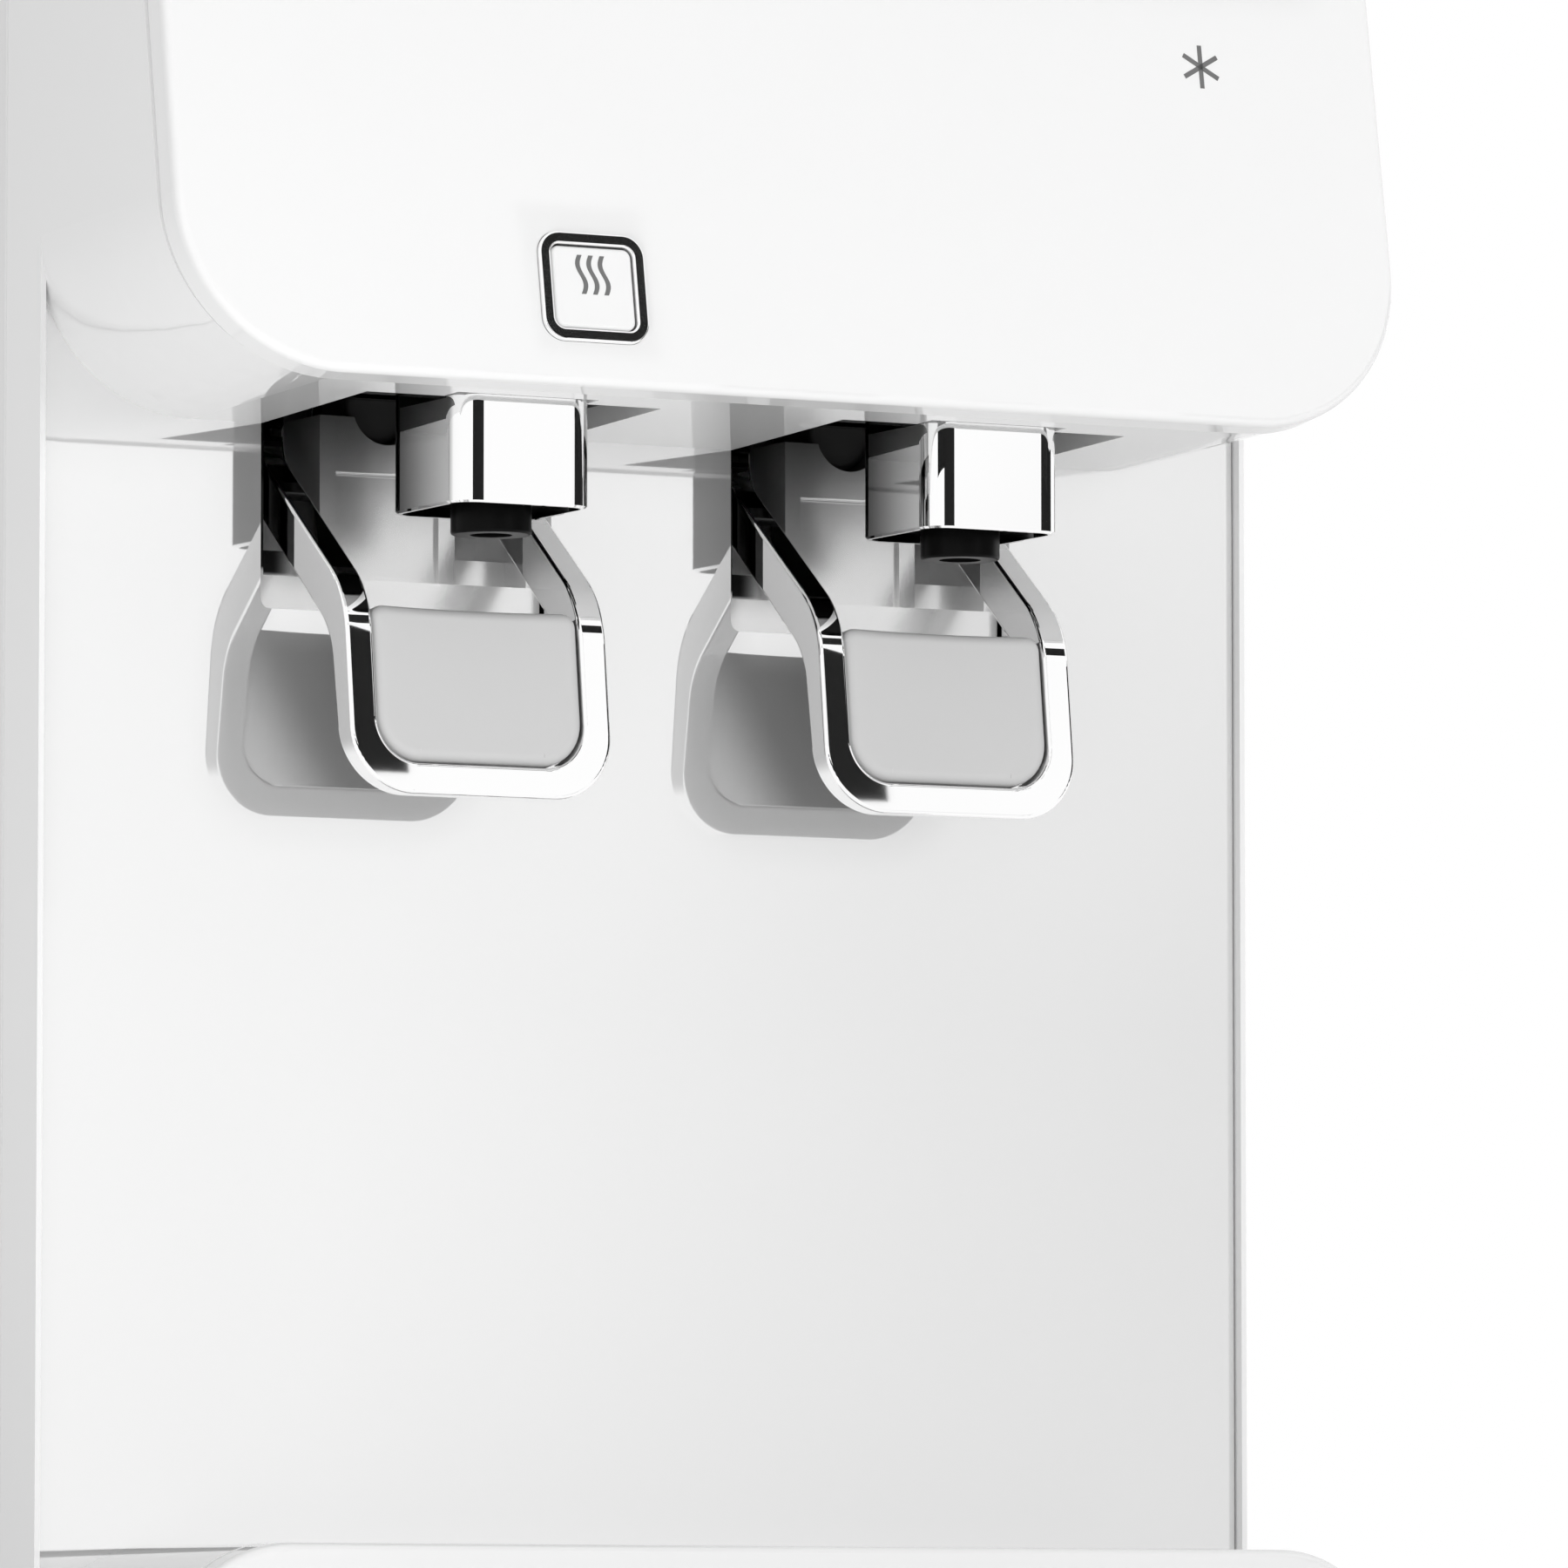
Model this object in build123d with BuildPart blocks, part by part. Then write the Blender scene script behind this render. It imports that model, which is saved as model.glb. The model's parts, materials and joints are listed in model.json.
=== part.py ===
from build123d import *
import os
from math import cos, radians, sin, tan

# Counter-top hot and cold water dispenser, in millimetres.
# X points right seen from the front, Y points to the back, Z points up.
# The origin is on the floor, under the middle of the overall box.

# Overall body
body_width = 260.0
body_depth = 500.0
body_height = 507.0
foot_height = 12.0
shell_wall = 2.5
seat_gap = 0.3
running_gap = 0.05

# Front body: hood, rails, backsplash and front cover
hood_z = 287.0
hood_overhang = 65.7
hood_rise = 2.1
hood_corner = 32.5
cover_tilt = 9.4
cover_depth = 6.7
cover_lift = 2.5
cover_edge = 1.6
cover_inset = 0.4
seam_chamfer = 0.5
seam_setback = 13.0
rail_width = 4.0
lip_width = 1.1
lip_rise = 2.5
panel_thickness = 3.0
panel_rise = 8.0

# Top cover and the lid over the filters
top_height = 10.0
top_edge = 3.0
lid_depth = 96.0
lid_thickness = 4.0
lid_gap = 0.8
lid_ledge = 3.0
hinge_inset = 3.0
trunnion_radius = 1.2
trunnion_length = 2.0
lid_notch_width = 36.0
lid_notch_depth = 6.0

# Dispensers: one lever, spout and valve for hot water and one for cold
dispenser_spacing = 100.2
dispenser_shift = -2.4
window_width = 61.4
window_drop = 35.0
window_corner = 2.0
opening_reach = 45.5

lever_width = 54.4
lever_drop = 71.9
lever_toe = 33.5
toe_depth = 5.3
lever_lean = 6.8
heel_lean = 9.9
knee_drop = 33.8
arm_slope = 37.2
heel_slope = 38.4
heel_start = 23.0
upright_setback = 8.7
upright_depth = 7.3
upright_rise = 26.0
front_knee_radius = 19.0
bend_radius = 8.0
heel_radius = 14.0
arm_width = 5.6
toe_bar = 5.9
lever_corner = 12.5
lever_inner_corner = 8.4
lever_edge = 0.7
crossbar_low = 7.0
crossbar_height = 5.0
crossbar_depth = 3.3
pivot_rise = 20.0
pivot_radius = 2.0

pad_height = 29.6
pad_gap = 0.05
pad_corner = 8.6
pad_top_corner = 3.0
pad_depth = 5.0
pad_dish = 0.4
pad_edge = 2.3

bracket_gap = 0.5
ear_width = 2.4
ear_front = 5.0
bracket_depth = 30.0
bracket_plate = 3.0
bracket_lip = 6.4
bracket_lip_front = 4.0
slot_floor = 5.8
slot_floor_front = 14.0
block_width = 28.6
block_front = 9.7
block_top = 3.3
block_step_drop = 8.0
block_step_edge = 0.8
rib_width = 3.4
rib_proud = 1.2
step_proud = 1.0

spout_width = 28.8
spout_depth = 30.6
spout_centre = 35.6
spout_drop = 18.6
spout_corner = 5.2
spout_wall = 1.3
spout_pocket = 12.0
spout_edge = 0.4
spout_flange = 2.6
spout_flange_height = 1.2
mount_width = 76.0
mount_back = 17.0
mount_front = 56.0
mount_thickness = 2.2
nozzle_radius = 7.6
nozzle_bore = 4.0
nozzle_drop = 4.4
nozzle_recess = 2.6
nozzle_plate = 5.0
nozzle_edge = 0.5

plunger_rise = 5.4
boot_radius = 6.6
boot_length = 11.0
boot_round = 1.5
plunger_gap = 0.5
stem_radius = 3.0
stem_length = 19.0
valve_width = 28.0
valve_height = 29.0
valve_low = -9.0
valve_depth = 18.0
valve_chamber = 5.6
valve_edge = 1.5
spring_wall = 1.2
spring_spare = 2.6

# Hot water lock button, its bezel and the control board
button_x = -45.2
button_up = 18.7
bezel_width = 22.0
bezel_height = 21.0
bezel_band = 2.4
bezel_corner = 4.4
bezel_proud = 0.9
bezel_depth = 7.0
bezel_edge = 0.4
button_proud = 0.5
button_edge = 0.7
button_gap = 0.25
button_flange = 1.5
button_flange_depth = 1.6
button_travel = 2.5
button_stem = 2.5
button_stem_length = 4.0
button_spring_radius = 5.0
switch_size = 6.0
switch_height = 3.0
board_low = 14.0
board_height = 92.0
board_left = -67.0
board_right = 38.0
board_thickness = 1.6
board_post = 3.0
board_margin = 6.0
board_chip = 18.0
chip_height = 2.0

# Base, drip tray and grille
tray_top_z = 75.4
tray_reach = 60.0
tray_corner = 25.0
tray_front_depth = 7.0
tray_wall = 2.0
base_gap = 2.0
basin_side = 32.0
basin_floor_z = 36.0
basin_back = 5.0
grille_thickness = 3.4
grille_drop = 0.9
grille_slot_width = 3.2
grille_slot_length = 34.0
grille_pitch = 8.0
grille_edge = 0.6
chassis_thickness = 3.0
chassis_flange = 22.0
foot_radius = 11.0
foot_inset_x = 28.0
foot_inset_front = 70.0
foot_inset_back = 40.0
foot_edge = 1.5

# Back of the body
back_reach = 12.0
vent_length = 62.0
vent_width = 5.0
vent_pitch = 14.0
vent_column_pitch = 82.0
vent_low = 252.0
vent_headroom = 49.0
side_vent_setback = 88.0
side_vent_z = 110.0
side_vent_rows = 9
inlet_inset = 45.0
inlet_z = 70.0
inlet_radius = 8.0
inlet_bore = 3.25
inlet_bore_depth = 16.0
inlet_inside = 8.0
inlet_collar = 11.0
inlet_collar_depth = 3.0
drain_offset = 40.0
drain_z = 46.0
drain_radius = 7.0
drain_head = 10.0
drain_head_depth = 6.0
drain_inside = 14.0
drain_rim = 2.0
socket_inset = 52.0
socket_z = 66.0
socket_width = 30.0
socket_height = 23.0
socket_inside = 20.0
socket_flange = 4.0
socket_flange_depth = 3.0
socket_pit_width = 24.5
socket_pit_height = 16.8
socket_pit_depth = 15.0
pin_width = 2.0
pin_height = 6.0
pin_pitch = 7.0
switch_inset = 68.0
switch_pitch = 34.0
switch_z = 118.0
rocker_width = 13.0
rocker_height = 21.0
rocker_axis_depth = 8.0
rocker_case_depth = 18.0
rocker_case_wall = 1.5
rocker_rim = 2.0
screw_radius = 3.4
screw_head = 1.8
screw_shank = 1.4
screw_length = 6.0
screw_inset = 10.0

# Inside: frame, tanks, cooling set, filters and water path
frame_sheet = 2.0
frame_side_gap = 9.5
frame_lead = 78.0
frame_tail = 40.0
shelf_z = 252.0
foam_lead = 2.3
cold_radius = 60.0
cold_low = 270.0
cold_headroom = 21.0
spigot_length = 12.0
tank_sheet = 1.2
tank_round = 14.0
foam_radius = 82.0
foam_headroom = 27.0
coil_radius = 3.0
coil_low = 322.0
coil_spare = 40.0
coil_pitch = 9.0
hot_x = -35.0
hot_setback = 65.3
hot_radius = 48.0
hot_low = 24.0
hot_high = 225.0
hot_foot_radius = 32.0
hot_foot_wall = 3.0
heater_low = 64.0
heater_height = 50.0
heater_thickness = 2.6
jacket_gap = 0.4
jacket_thickness = 9.0
hot_feed_side = 17.0
hot_feed_back = 28.0
compressor_x = 25.0
compressor_setback = 91.5
compressor_radius = 59.0
compressor_height = 146.0
compressor_round = 28.0
compressor_wall = 7.0
compressor_plate = 3.0
compressor_plate_x = 150.0
compressor_plate_y = 104.0
grommet_radius = 9.0
grommet_height = 12.0
grommet_inset = 12.0
condenser_setback = 14.5
condenser_side_gap = 42.0
condenser_low = 218.0
condenser_runs = 9
condenser_headroom = 39.0
condenser_tube = 3.0
condenser_fin = 1.2
condenser_margin = 12.0
condenser_post = 4.0
filter_end = 39.0
filter_gap = 10.0
filter_lead = 11.0
filter_headroom = 17.0
filter_round = 6.0
filter_neck = 12.0
filter_neck_length = 16.0
filter_grip_width = 8.0
filter_grip_height = 10.0
manifold_side_gap = 7.0
manifold_depth = 64.0
manifold_height = 26.0
manifold_edge = 3.0
feed_width = 30.0
feed_depth = 34.0
feed_height = 30.0
feed_coil_radius = 12.0
feed_coil_height = 28.0
hose_radius = 3.2
hose_bend = 16.0
tank_riser_inset = 18.0
tank_riser_lead = 25.0
tank_hose_headroom = 10.0
tank_hose_end_x = 30.0
tank_hose_end_back = 12.0
outlet_rise = 34.0
outlet_bend = 9.0
outlet_setback = 39.0
power_standoff = 16.0
power_shift = 30.0
power_z = 120.0
power_length = 66.0
power_height = 130.0
power_post = 3.0
power_margin = 7.0
transformer_size = 34.0
transformer_depth = 24.0

# Places that follow from the sizes above
half_width = body_width / 2
front_y = -body_depth / 2
wall_y = front_y + hood_overhang
wall_back = wall_y + panel_thickness
seam_y = wall_y + seam_setback
back_y = body_depth / 2 - back_reach
back_inner = back_y - shell_wall
top_z = body_height - top_height
base_z = foot_height + base_gap
pan_z = foot_height + chassis_thickness
panel_low = tray_top_z - tray_corner
panel_high = hood_z + hood_corner + panel_rise
lip_low = panel_low + (tray_corner ** 2 - (tray_corner - lip_width) ** 2) ** 0.5 + seat_gap
tilt = radians(cover_tilt)
cover_low_z = hood_z + cover_lift
cover_y = front_y - cover_edge * (sin(tilt) + cos(tilt) - 1)
cover_height = (top_z - cover_low_z) / cos(tilt) + cover_depth
dispensers = {
    "hot": dispenser_shift - dispenser_spacing / 2,
    "cold": dispenser_shift + dispenser_spacing / 2,
}
window_low = hood_z - window_drop
spout_y = wall_y - spout_centre
mount_z = hood_z + hood_rise + shell_wall
spout_top = mount_z + mount_thickness + spout_flange_height
upright_mid = upright_setback + upright_depth / 2
ear_half = window_width / 2 - bracket_gap
plunger_front = upright_setback + crossbar_depth + plunger_gap
valve_front_y = wall_y + bracket_depth
basin_width = body_width - 2 * basin_side
vent_rows = 1 + int((top_z - vent_headroom - vent_low) // vent_pitch)
vent_z = vent_low + (vent_rows - 1) * vent_pitch / 2
side_vent_y = back_y - side_vent_setback
inlet_x = inlet_inset - half_width
drain_x = inlet_x + drain_offset
socket_x = half_width - socket_inset
switch_x = half_width - switch_inset
frame_half = half_width - shell_wall - frame_side_gap
cold_y = valve_front_y + valve_depth + foam_lead + foam_radius
cold_high = top_z - cold_headroom
foam_high = top_z - foam_headroom
coil_turns = int((foam_high - coil_low - coil_spare) // coil_pitch)
hot_y = wall_back + hot_setback
hot_feed_x = hot_x + hot_feed_side
hot_feed_y = hot_y + hot_feed_back
compressor_y = back_inner - compressor_setback
condenser_y = back_inner - condenser_setback
condenser_half = half_width - condenser_side_gap
condenser_pitch = (top_z - condenser_headroom - condenser_low) / (condenser_runs - 1)
manifold_width = 2 * (frame_half - manifold_side_gap)
filter_pitch = manifold_width / 2 - filter_end
filter_radius = (filter_pitch - filter_gap) / 2
filter_y = cold_y + foam_radius + filter_lead + filter_radius
filter_top = top_z - filter_headroom
frame_front = cold_y - frame_lead
frame_back = filter_y + frame_tail
power_x = frame_half - frame_sheet - power_standoff
power_y = (hot_y + compressor_y) / 2 + power_shift
lid_width = 2 * (filter_pitch + filter_radius)
lid_y = filter_y
lid_hinge_y = lid_y + lid_depth / 2 - hinge_inset
lid_hinge_z = body_height - lid_thickness / 2
frame_low = pan_z
manifold_top = shelf_z + manifold_height
tray_front_y = wall_y - tray_reach
tray_back_y = tray_front_y + tray_front_depth
basin_top_z = tray_top_z - grille_drop - grille_thickness

# Planes: one facing the front at a given Y, and one on the front cover's face
cover_plane = Plane(
    origin=(0, cover_y, cover_low_z), x_dir=(1, 0, 0), z_dir=(0, -cos(tilt), sin(tilt))
)
cover_axis = Axis((0, 0, 0), (0, -cos(tilt), sin(tilt)))


def facing(y, x=0.0, z=0.0):
    """Plane that faces the front, with its first axis to the right and its second axis up."""
    return Plane(origin=(x, y, z), x_dir=(1, 0, 0), z_dir=(0, -1, 0))


def side_view(x):
    """Plane through a dispenser: first axis forward from the backsplash, second up from the hood."""
    return Plane(origin=(x, wall_y, hood_z), x_dir=(0, -1, 0), z_dir=(-1, 0, 0))


def outline(width, low, high, radius, end, x=0.0):
    """Upright rectangle whose corners at the low end (0) or the high end (-1) are rounded."""
    with BuildSketch() as shape:
        with Locations((x, (low + high) / 2)):
            Rectangle(width, high - low)
        fillet(shape.vertices().group_by(Axis.Y)[end], radius)
    return shape.sketch


def save(part, label):
    """Labels a finished piece and writes its file."""
    part.label = label
    export_step(part, f"parts/{label}.step")


# Front body

def make_front_frame():
    """Hood shell, its underside rising to the front, with the side rails down the body's front edges."""
    outer = outline(body_width, hood_z, top_z, hood_corner, 0)
    inner = outline(body_width - 2 * shell_wall, mount_z, top_z + shell_wall, hood_corner - shell_wall, 0)
    forward = Vector(0, -hood_overhang, hood_rise)
    with BuildPart() as frame:
        with BuildSketch(facing(wall_y)):
            add(outer)
        extrude(amount=forward.length, dir=forward)
        split(bisect_by=Plane.XY.offset(top_z), keep=Keep.BOTTOM)
        with BuildSketch(facing(wall_y)):
            add(inner)
        extrude(amount=hood_overhang, mode=Mode.SUBTRACT)
        split(bisect_by=cover_plane.offset(-cover_depth), keep=Keep.BOTTOM)
        with BuildSketch(Plane.XY.offset(base_z)):
            for side in (-1, 1):
                with Locations((side * (half_width - rail_width / 2), (wall_back + seam_y) / 2)):
                    Rectangle(rail_width, seam_y - wall_back)
        extrude(amount=top_z - base_z)
        with BuildSketch(Plane.XY.offset(lip_low)):
            for side in (-1, 1):
                with Locations((side * (half_width - lip_width / 2), (wall_y - lip_rise + wall_back) / 2)):
                    Rectangle(lip_width, panel_thickness + lip_rise)
        extrude(amount=top_z - lip_low)
        with BuildSketch(Plane.XY.offset(hood_z)):
            for x in dispensers.values():
                with Locations((x, wall_y - opening_reach / 2)):
                    Rectangle(window_width, opening_reach)
                with Locations((x, spout_y)):
                    Rectangle(spout_width + 2 * seat_gap, spout_depth + 2 * seat_gap)
        extrude(amount=mount_z - hood_z, mode=Mode.SUBTRACT)
    return frame.part


def make_backsplash():
    """Glossy wall behind the cups, with a window for each lever."""
    windows = []
    for x in dispensers.values():
        windows.append(outline(window_width, window_low, panel_high, window_corner, 0, x))
    with BuildPart() as panel:
        with BuildSketch(facing(wall_back)):
            with Locations((0, (panel_low + panel_high) / 2)):
                Rectangle(body_width - 2 * (lip_width + seat_gap), panel_high - panel_low)
        extrude(amount=panel_thickness)
        with BuildSketch(facing(wall_back)):
            for window in windows:
                add(window)
        extrude(amount=panel_thickness, mode=Mode.SUBTRACT)
    return panel.part


def make_front_cover():
    """Tilted gloss cover of the hood, hollow behind, with posts for the control board."""
    cover_width = body_width - 2 * cover_inset
    outer = outline(cover_width, 0, cover_height, hood_corner, 0)
    inner_high = cover_height - 3 * cover_depth
    inner = outline(cover_width - 2 * shell_wall, shell_wall, inner_high, hood_corner - shell_wall, 0)
    board_x = (board_left + board_right) / 2
    board_y = board_low + board_height / 2
    with BuildPart() as cover:
        with BuildSketch(cover_plane):
            add(outer)
        extrude(amount=-cover_depth)
        fillet(cover.faces().sort_by(cover_axis)[-1].edges(), cover_edge)
        chamfer(cover.faces().sort_by(cover_axis)[0].edges(), seam_chamfer)
        with BuildSketch(cover_plane.offset(-cover_depth)):
            add(inner)
        extrude(amount=cover_depth - shell_wall, mode=Mode.SUBTRACT)
        with BuildSketch(cover_plane):
            with Locations((button_x, button_up)):
                RectangleRounded(
                    bezel_width + 2 * running_gap, bezel_height + 2 * running_gap, bezel_corner
                )
        extrude(amount=-cover_depth, mode=Mode.SUBTRACT)
        with BuildSketch(cover_plane.offset(-shell_wall)):
            with Locations((board_x, board_y)):
                with GridLocations(
                    board_right - board_left - 2 * board_margin, board_height - 2 * board_margin, 2, 2
                ):
                    Circle(board_post)
        extrude(amount=-(board_depth() - shell_wall))
        split(bisect_by=Plane.XY.offset(top_z), keep=Keep.BOTTOM)
    return cover.part


def board_depth():
    """Depth of the board's face behind the cover's face."""
    button_end = bezel_depth + seat_gap + button_flange_depth + button_stem_length
    return button_end + button_travel + seat_gap + switch_height


def make_bezel():
    """Chrome ring around the button."""
    with BuildPart() as bezel:
        with BuildSketch(cover_plane.offset(-bezel_depth)):
            with Locations((button_x, button_up)):
                RectangleRounded(bezel_width, bezel_height, bezel_corner)
                RectangleRounded(
                    bezel_width - 2 * bezel_band,
                    bezel_height - 2 * bezel_band,
                    bezel_corner - bezel_band,
                    mode=Mode.SUBTRACT,
                )
        extrude(amount=bezel_depth + bezel_proud)
        fillet(bezel.faces().sort_by(cover_axis)[-1].edges(), bezel_edge)
    return bezel.part


def make_button():
    """White push button with a retaining flange behind the bezel and a stem towards the switch."""
    width = bezel_width - 2 * (bezel_band + button_gap)
    height = bezel_height - 2 * (bezel_band + button_gap)
    corner = bezel_corner - bezel_band - button_gap
    flange_front = bezel_depth + seat_gap
    flange_back = flange_front + button_flange_depth
    with BuildPart() as button:
        with BuildSketch(cover_plane.offset(-flange_back)):
            with Locations((button_x, button_up)):
                RectangleRounded(width, height, corner)
        extrude(amount=flange_back + button_proud)
        fillet(button.faces().sort_by(cover_axis)[-1].edges(), button_edge)
        with BuildSketch(cover_plane.offset(-flange_back)):
            with Locations((button_x, button_up)):
                RectangleRounded(width + 2 * button_flange, height + 2 * button_flange, corner)
        extrude(amount=button_flange_depth)
        with BuildSketch(cover_plane.offset(-flange_back)):
            with Locations((button_x, button_up)):
                Circle(button_stem)
        extrude(amount=-button_stem_length)
    return button.part


def make_button_spring():
    """Return spring of the button at its pressed length, standing on the board around the switch."""
    flange_back = bezel_depth + seat_gap + button_flange_depth
    length = board_depth() - flange_back - button_travel - seat_gap
    with BuildPart() as spring:
        with BuildSketch(cover_plane.offset(-board_depth())):
            with Locations((button_x, button_up)):
                Circle(button_spring_radius + spring_wall)
                Circle(button_spring_radius, mode=Mode.SUBTRACT)
        extrude(amount=length)
    return spring.part


def make_control_board():
    """Circuit board with the button's switch and two chips, on the cover's posts."""
    board_x = (board_left + board_right) / 2
    board_y = board_low + board_height / 2
    with BuildPart() as board:
        with BuildSketch(cover_plane.offset(-board_depth())):
            with Locations((board_x, board_y)):
                Rectangle(board_right - board_left, board_height)
        extrude(amount=-board_thickness)
        with BuildSketch(cover_plane.offset(-board_depth())):
            with Locations((button_x, button_up)):
                Rectangle(switch_size, switch_size)
        extrude(amount=switch_height)
        with BuildSketch(cover_plane.offset(-board_depth())):
            with Locations((board_x, board_y)):
                with GridLocations(0, 2 * board_chip, 1, 2):
                    Rectangle(board_chip, board_chip)
        extrude(amount=chip_height)
    return board.part


# Dispensers

def lever_profile():
    """Side outline of a lever: toe, knee, sloping arm and upright, as forward and up from the hood."""
    knee = lever_toe - (lever_drop - knee_drop) * tan(radians(lever_lean))
    bend_up = -knee_drop + (knee + upright_setback) * tan(radians(arm_slope))
    upright_back = -upright_setback - upright_depth
    toe_back = lever_toe - toe_depth
    heel_low = tan(radians(heel_lean))
    heel_rate = tan(radians(heel_slope))
    heel = (lever_drop - heel_start - toe_back / heel_low) / (heel_rate - 1 / heel_low)
    heel_up = -heel_start - heel_rate * heel
    back_up = -heel_start - heel_rate * upright_back
    with BuildSketch() as shape:
        with BuildLine():
            Polyline(
                (lever_toe, -lever_drop),
                (knee, -knee_drop),
                (-upright_setback, bend_up),
                (-upright_setback, upright_rise),
                (upright_back, upright_rise),
                (upright_back, back_up),
                (heel, heel_up),
                (toe_back, -lever_drop),
                close=True,
            )
        make_face()
        fillet(shape.vertices().sort_by_distance((knee, -knee_drop))[0], front_knee_radius)
        fillet(shape.vertices().sort_by_distance((-upright_setback, bend_up))[0], bend_radius)
        fillet(shape.vertices().sort_by_distance((heel, heel_up))[0], heel_radius)
        fillet(shape.vertices().sort_by_distance((upright_back, back_up))[0], bend_radius)
    return shape.sketch


def make_lever(x):
    """Chrome lever: a frame for the pad, two bent arms, a crossbar for the plunger and pivot eyes."""
    profile = lever_profile()
    outer = outline(lever_width, -lever_drop, upright_rise, lever_corner, 0)
    inner = outline(
        lever_width - 2 * arm_width, toe_bar - lever_drop, 2 * upright_rise, lever_inner_corner, 0
    )
    reach = lever_toe + upright_setback + upright_depth
    with BuildPart() as lever:
        with BuildSketch(side_view(x)):
            add(profile)
        extrude(amount=lever_width / 2, both=True)
        with BuildSketch(facing(wall_y, x, hood_z)):
            add(outer)
            add(inner, mode=Mode.SUBTRACT)
        extrude(amount=reach, both=True, mode=Mode.INTERSECT)
        front_edges = lever.edges().filter_by(lambda edge: edge.center().Y < wall_y - lever_toe / 2)
        fillet(front_edges.filter_by(Axis.X, reverse=True), lever_edge)
        with BuildSketch(side_view(x)):
            with Locations((-upright_setback - crossbar_depth / 2, crossbar_low + crossbar_height / 2)):
                Rectangle(crossbar_depth, crossbar_height)
        extrude(amount=lever_width / 2 - arm_width / 2, both=True)
        with BuildSketch(side_view(x)):
            with Locations((-upright_mid, pivot_rise)):
                Circle(pivot_radius + running_gap)
        extrude(amount=lever_width, both=True, mode=Mode.SUBTRACT)
    return lever.part


def make_pad(x):
    """Silicone pad that fills the lever's frame, level with its face, with a dished top edge."""
    lean = radians(lever_lean)
    width = lever_width - 2 * (arm_width + pad_gap)
    low = toe_bar + pad_gap + pad_depth * sin(lean) - lever_drop
    front = lever_toe - (low + lever_drop) * tan(lean)
    slant = Plane(
        origin=(x, wall_y - front, hood_z + low),
        x_dir=(1, 0, 0),
        z_dir=(0, -cos(lean), sin(lean)),
    )
    with BuildSketch() as face:
        with BuildLine():
            Polyline((-width / 2, pad_height), (-width / 2, 0), (width / 2, 0), (width / 2, pad_height))
            ThreePointArc((-width / 2, pad_height), (0, pad_height - pad_dish), (width / 2, pad_height))
        make_face()
        fillet(face.vertices().group_by(Axis.Y)[0], pad_corner)
        fillet(face.vertices().group_by(Axis.Y)[-1], pad_top_corner)
    with BuildPart() as pad:
        with BuildSketch(slant):
            add(face.sketch)
        extrude(amount=-pad_depth)
        slant_axis = Axis((0, 0, 0), tuple(slant.z_dir))
        fillet(pad.faces().sort_by(slant_axis)[-1].edges(), pad_edge)
    return pad.part


def make_pivot_pin(x):
    """Steel pin through the lever's eyes and the bracket's ears."""
    with BuildPart() as pin:
        with BuildSketch(side_view(x)):
            with Locations((-upright_mid, pivot_rise)):
                Circle(pivot_radius)
        extrude(amount=ear_half, both=True)
    return pin.part


def make_bracket(x):
    """Silver bracket in the window: ears for the pivot, a stepped block between ribs and a sill below."""
    sill_low = -window_drop + seat_gap
    sill_high = sill_low + bracket_lip
    floor_high = sill_high + slot_floor
    back = bracket_depth - bracket_plate
    with BuildPart() as bracket:
        with BuildSketch(facing(valve_front_y, x, hood_z)):
            with Locations((0, (sill_low + upright_rise) / 2)):
                Rectangle(2 * ear_half, upright_rise - sill_low)
        extrude(amount=bracket_plate)
        with BuildSketch(facing(valve_front_y - bracket_plate, x, hood_z)):
            for side in (-1, 1):
                with Locations((side * (ear_half - ear_width / 2), (sill_low + upright_rise) / 2)):
                    Rectangle(ear_width, upright_rise - sill_low)
        extrude(amount=back - ear_front)
        with BuildSketch(facing(valve_front_y - bracket_plate, x, hood_z)):
            with Locations((0, (sill_low + sill_high) / 2)):
                Rectangle(2 * ear_half, bracket_lip)
        extrude(amount=back - bracket_lip_front)
        with BuildSketch(facing(valve_front_y - bracket_plate, x, hood_z)):
            with Locations((0, (sill_high + floor_high) / 2)):
                Rectangle(2 * ear_half, slot_floor)
        extrude(amount=back - slot_floor_front)
        with BuildSketch(facing(valve_front_y - bracket_plate, x, hood_z)):
            with Locations((0, (sill_high + block_top) / 2)):
                Rectangle(block_width, block_top - sill_high)
        extrude(amount=back - block_front)
        with BuildSketch(facing(wall_y + block_front, x, hood_z)):
            with Locations((0, (block_top - block_step_drop) / 2)):
                Rectangle(block_width - 2 * rib_width, block_top + block_step_drop)
        extrude(amount=step_proud)
        step_edge = bracket.edges().filter_by(Axis.X).sort_by_distance(
            (x, wall_y + block_front - step_proud, hood_z - block_step_drop)
        )[0]
        fillet(step_edge, block_step_edge)
        with BuildSketch(facing(wall_y + block_front, x, hood_z)):
            for side in (-1, 1):
                with Locations((side * (block_width - rib_width) / 2, (sill_high + block_top) / 2)):
                    Rectangle(rib_width, block_top - sill_high)
        extrude(amount=rib_proud)
        with BuildSketch(facing(valve_front_y, x, hood_z)):
            with Locations((0, plunger_rise)):
                Circle(boot_radius + 2 * seat_gap)
        extrude(amount=bracket_depth, mode=Mode.SUBTRACT)
        with BuildSketch(side_view(x)):
            with Locations((-upright_mid, pivot_rise)):
                Circle(pivot_radius + running_gap)
        extrude(amount=window_width, both=True, mode=Mode.SUBTRACT)
    return bracket.part


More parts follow.
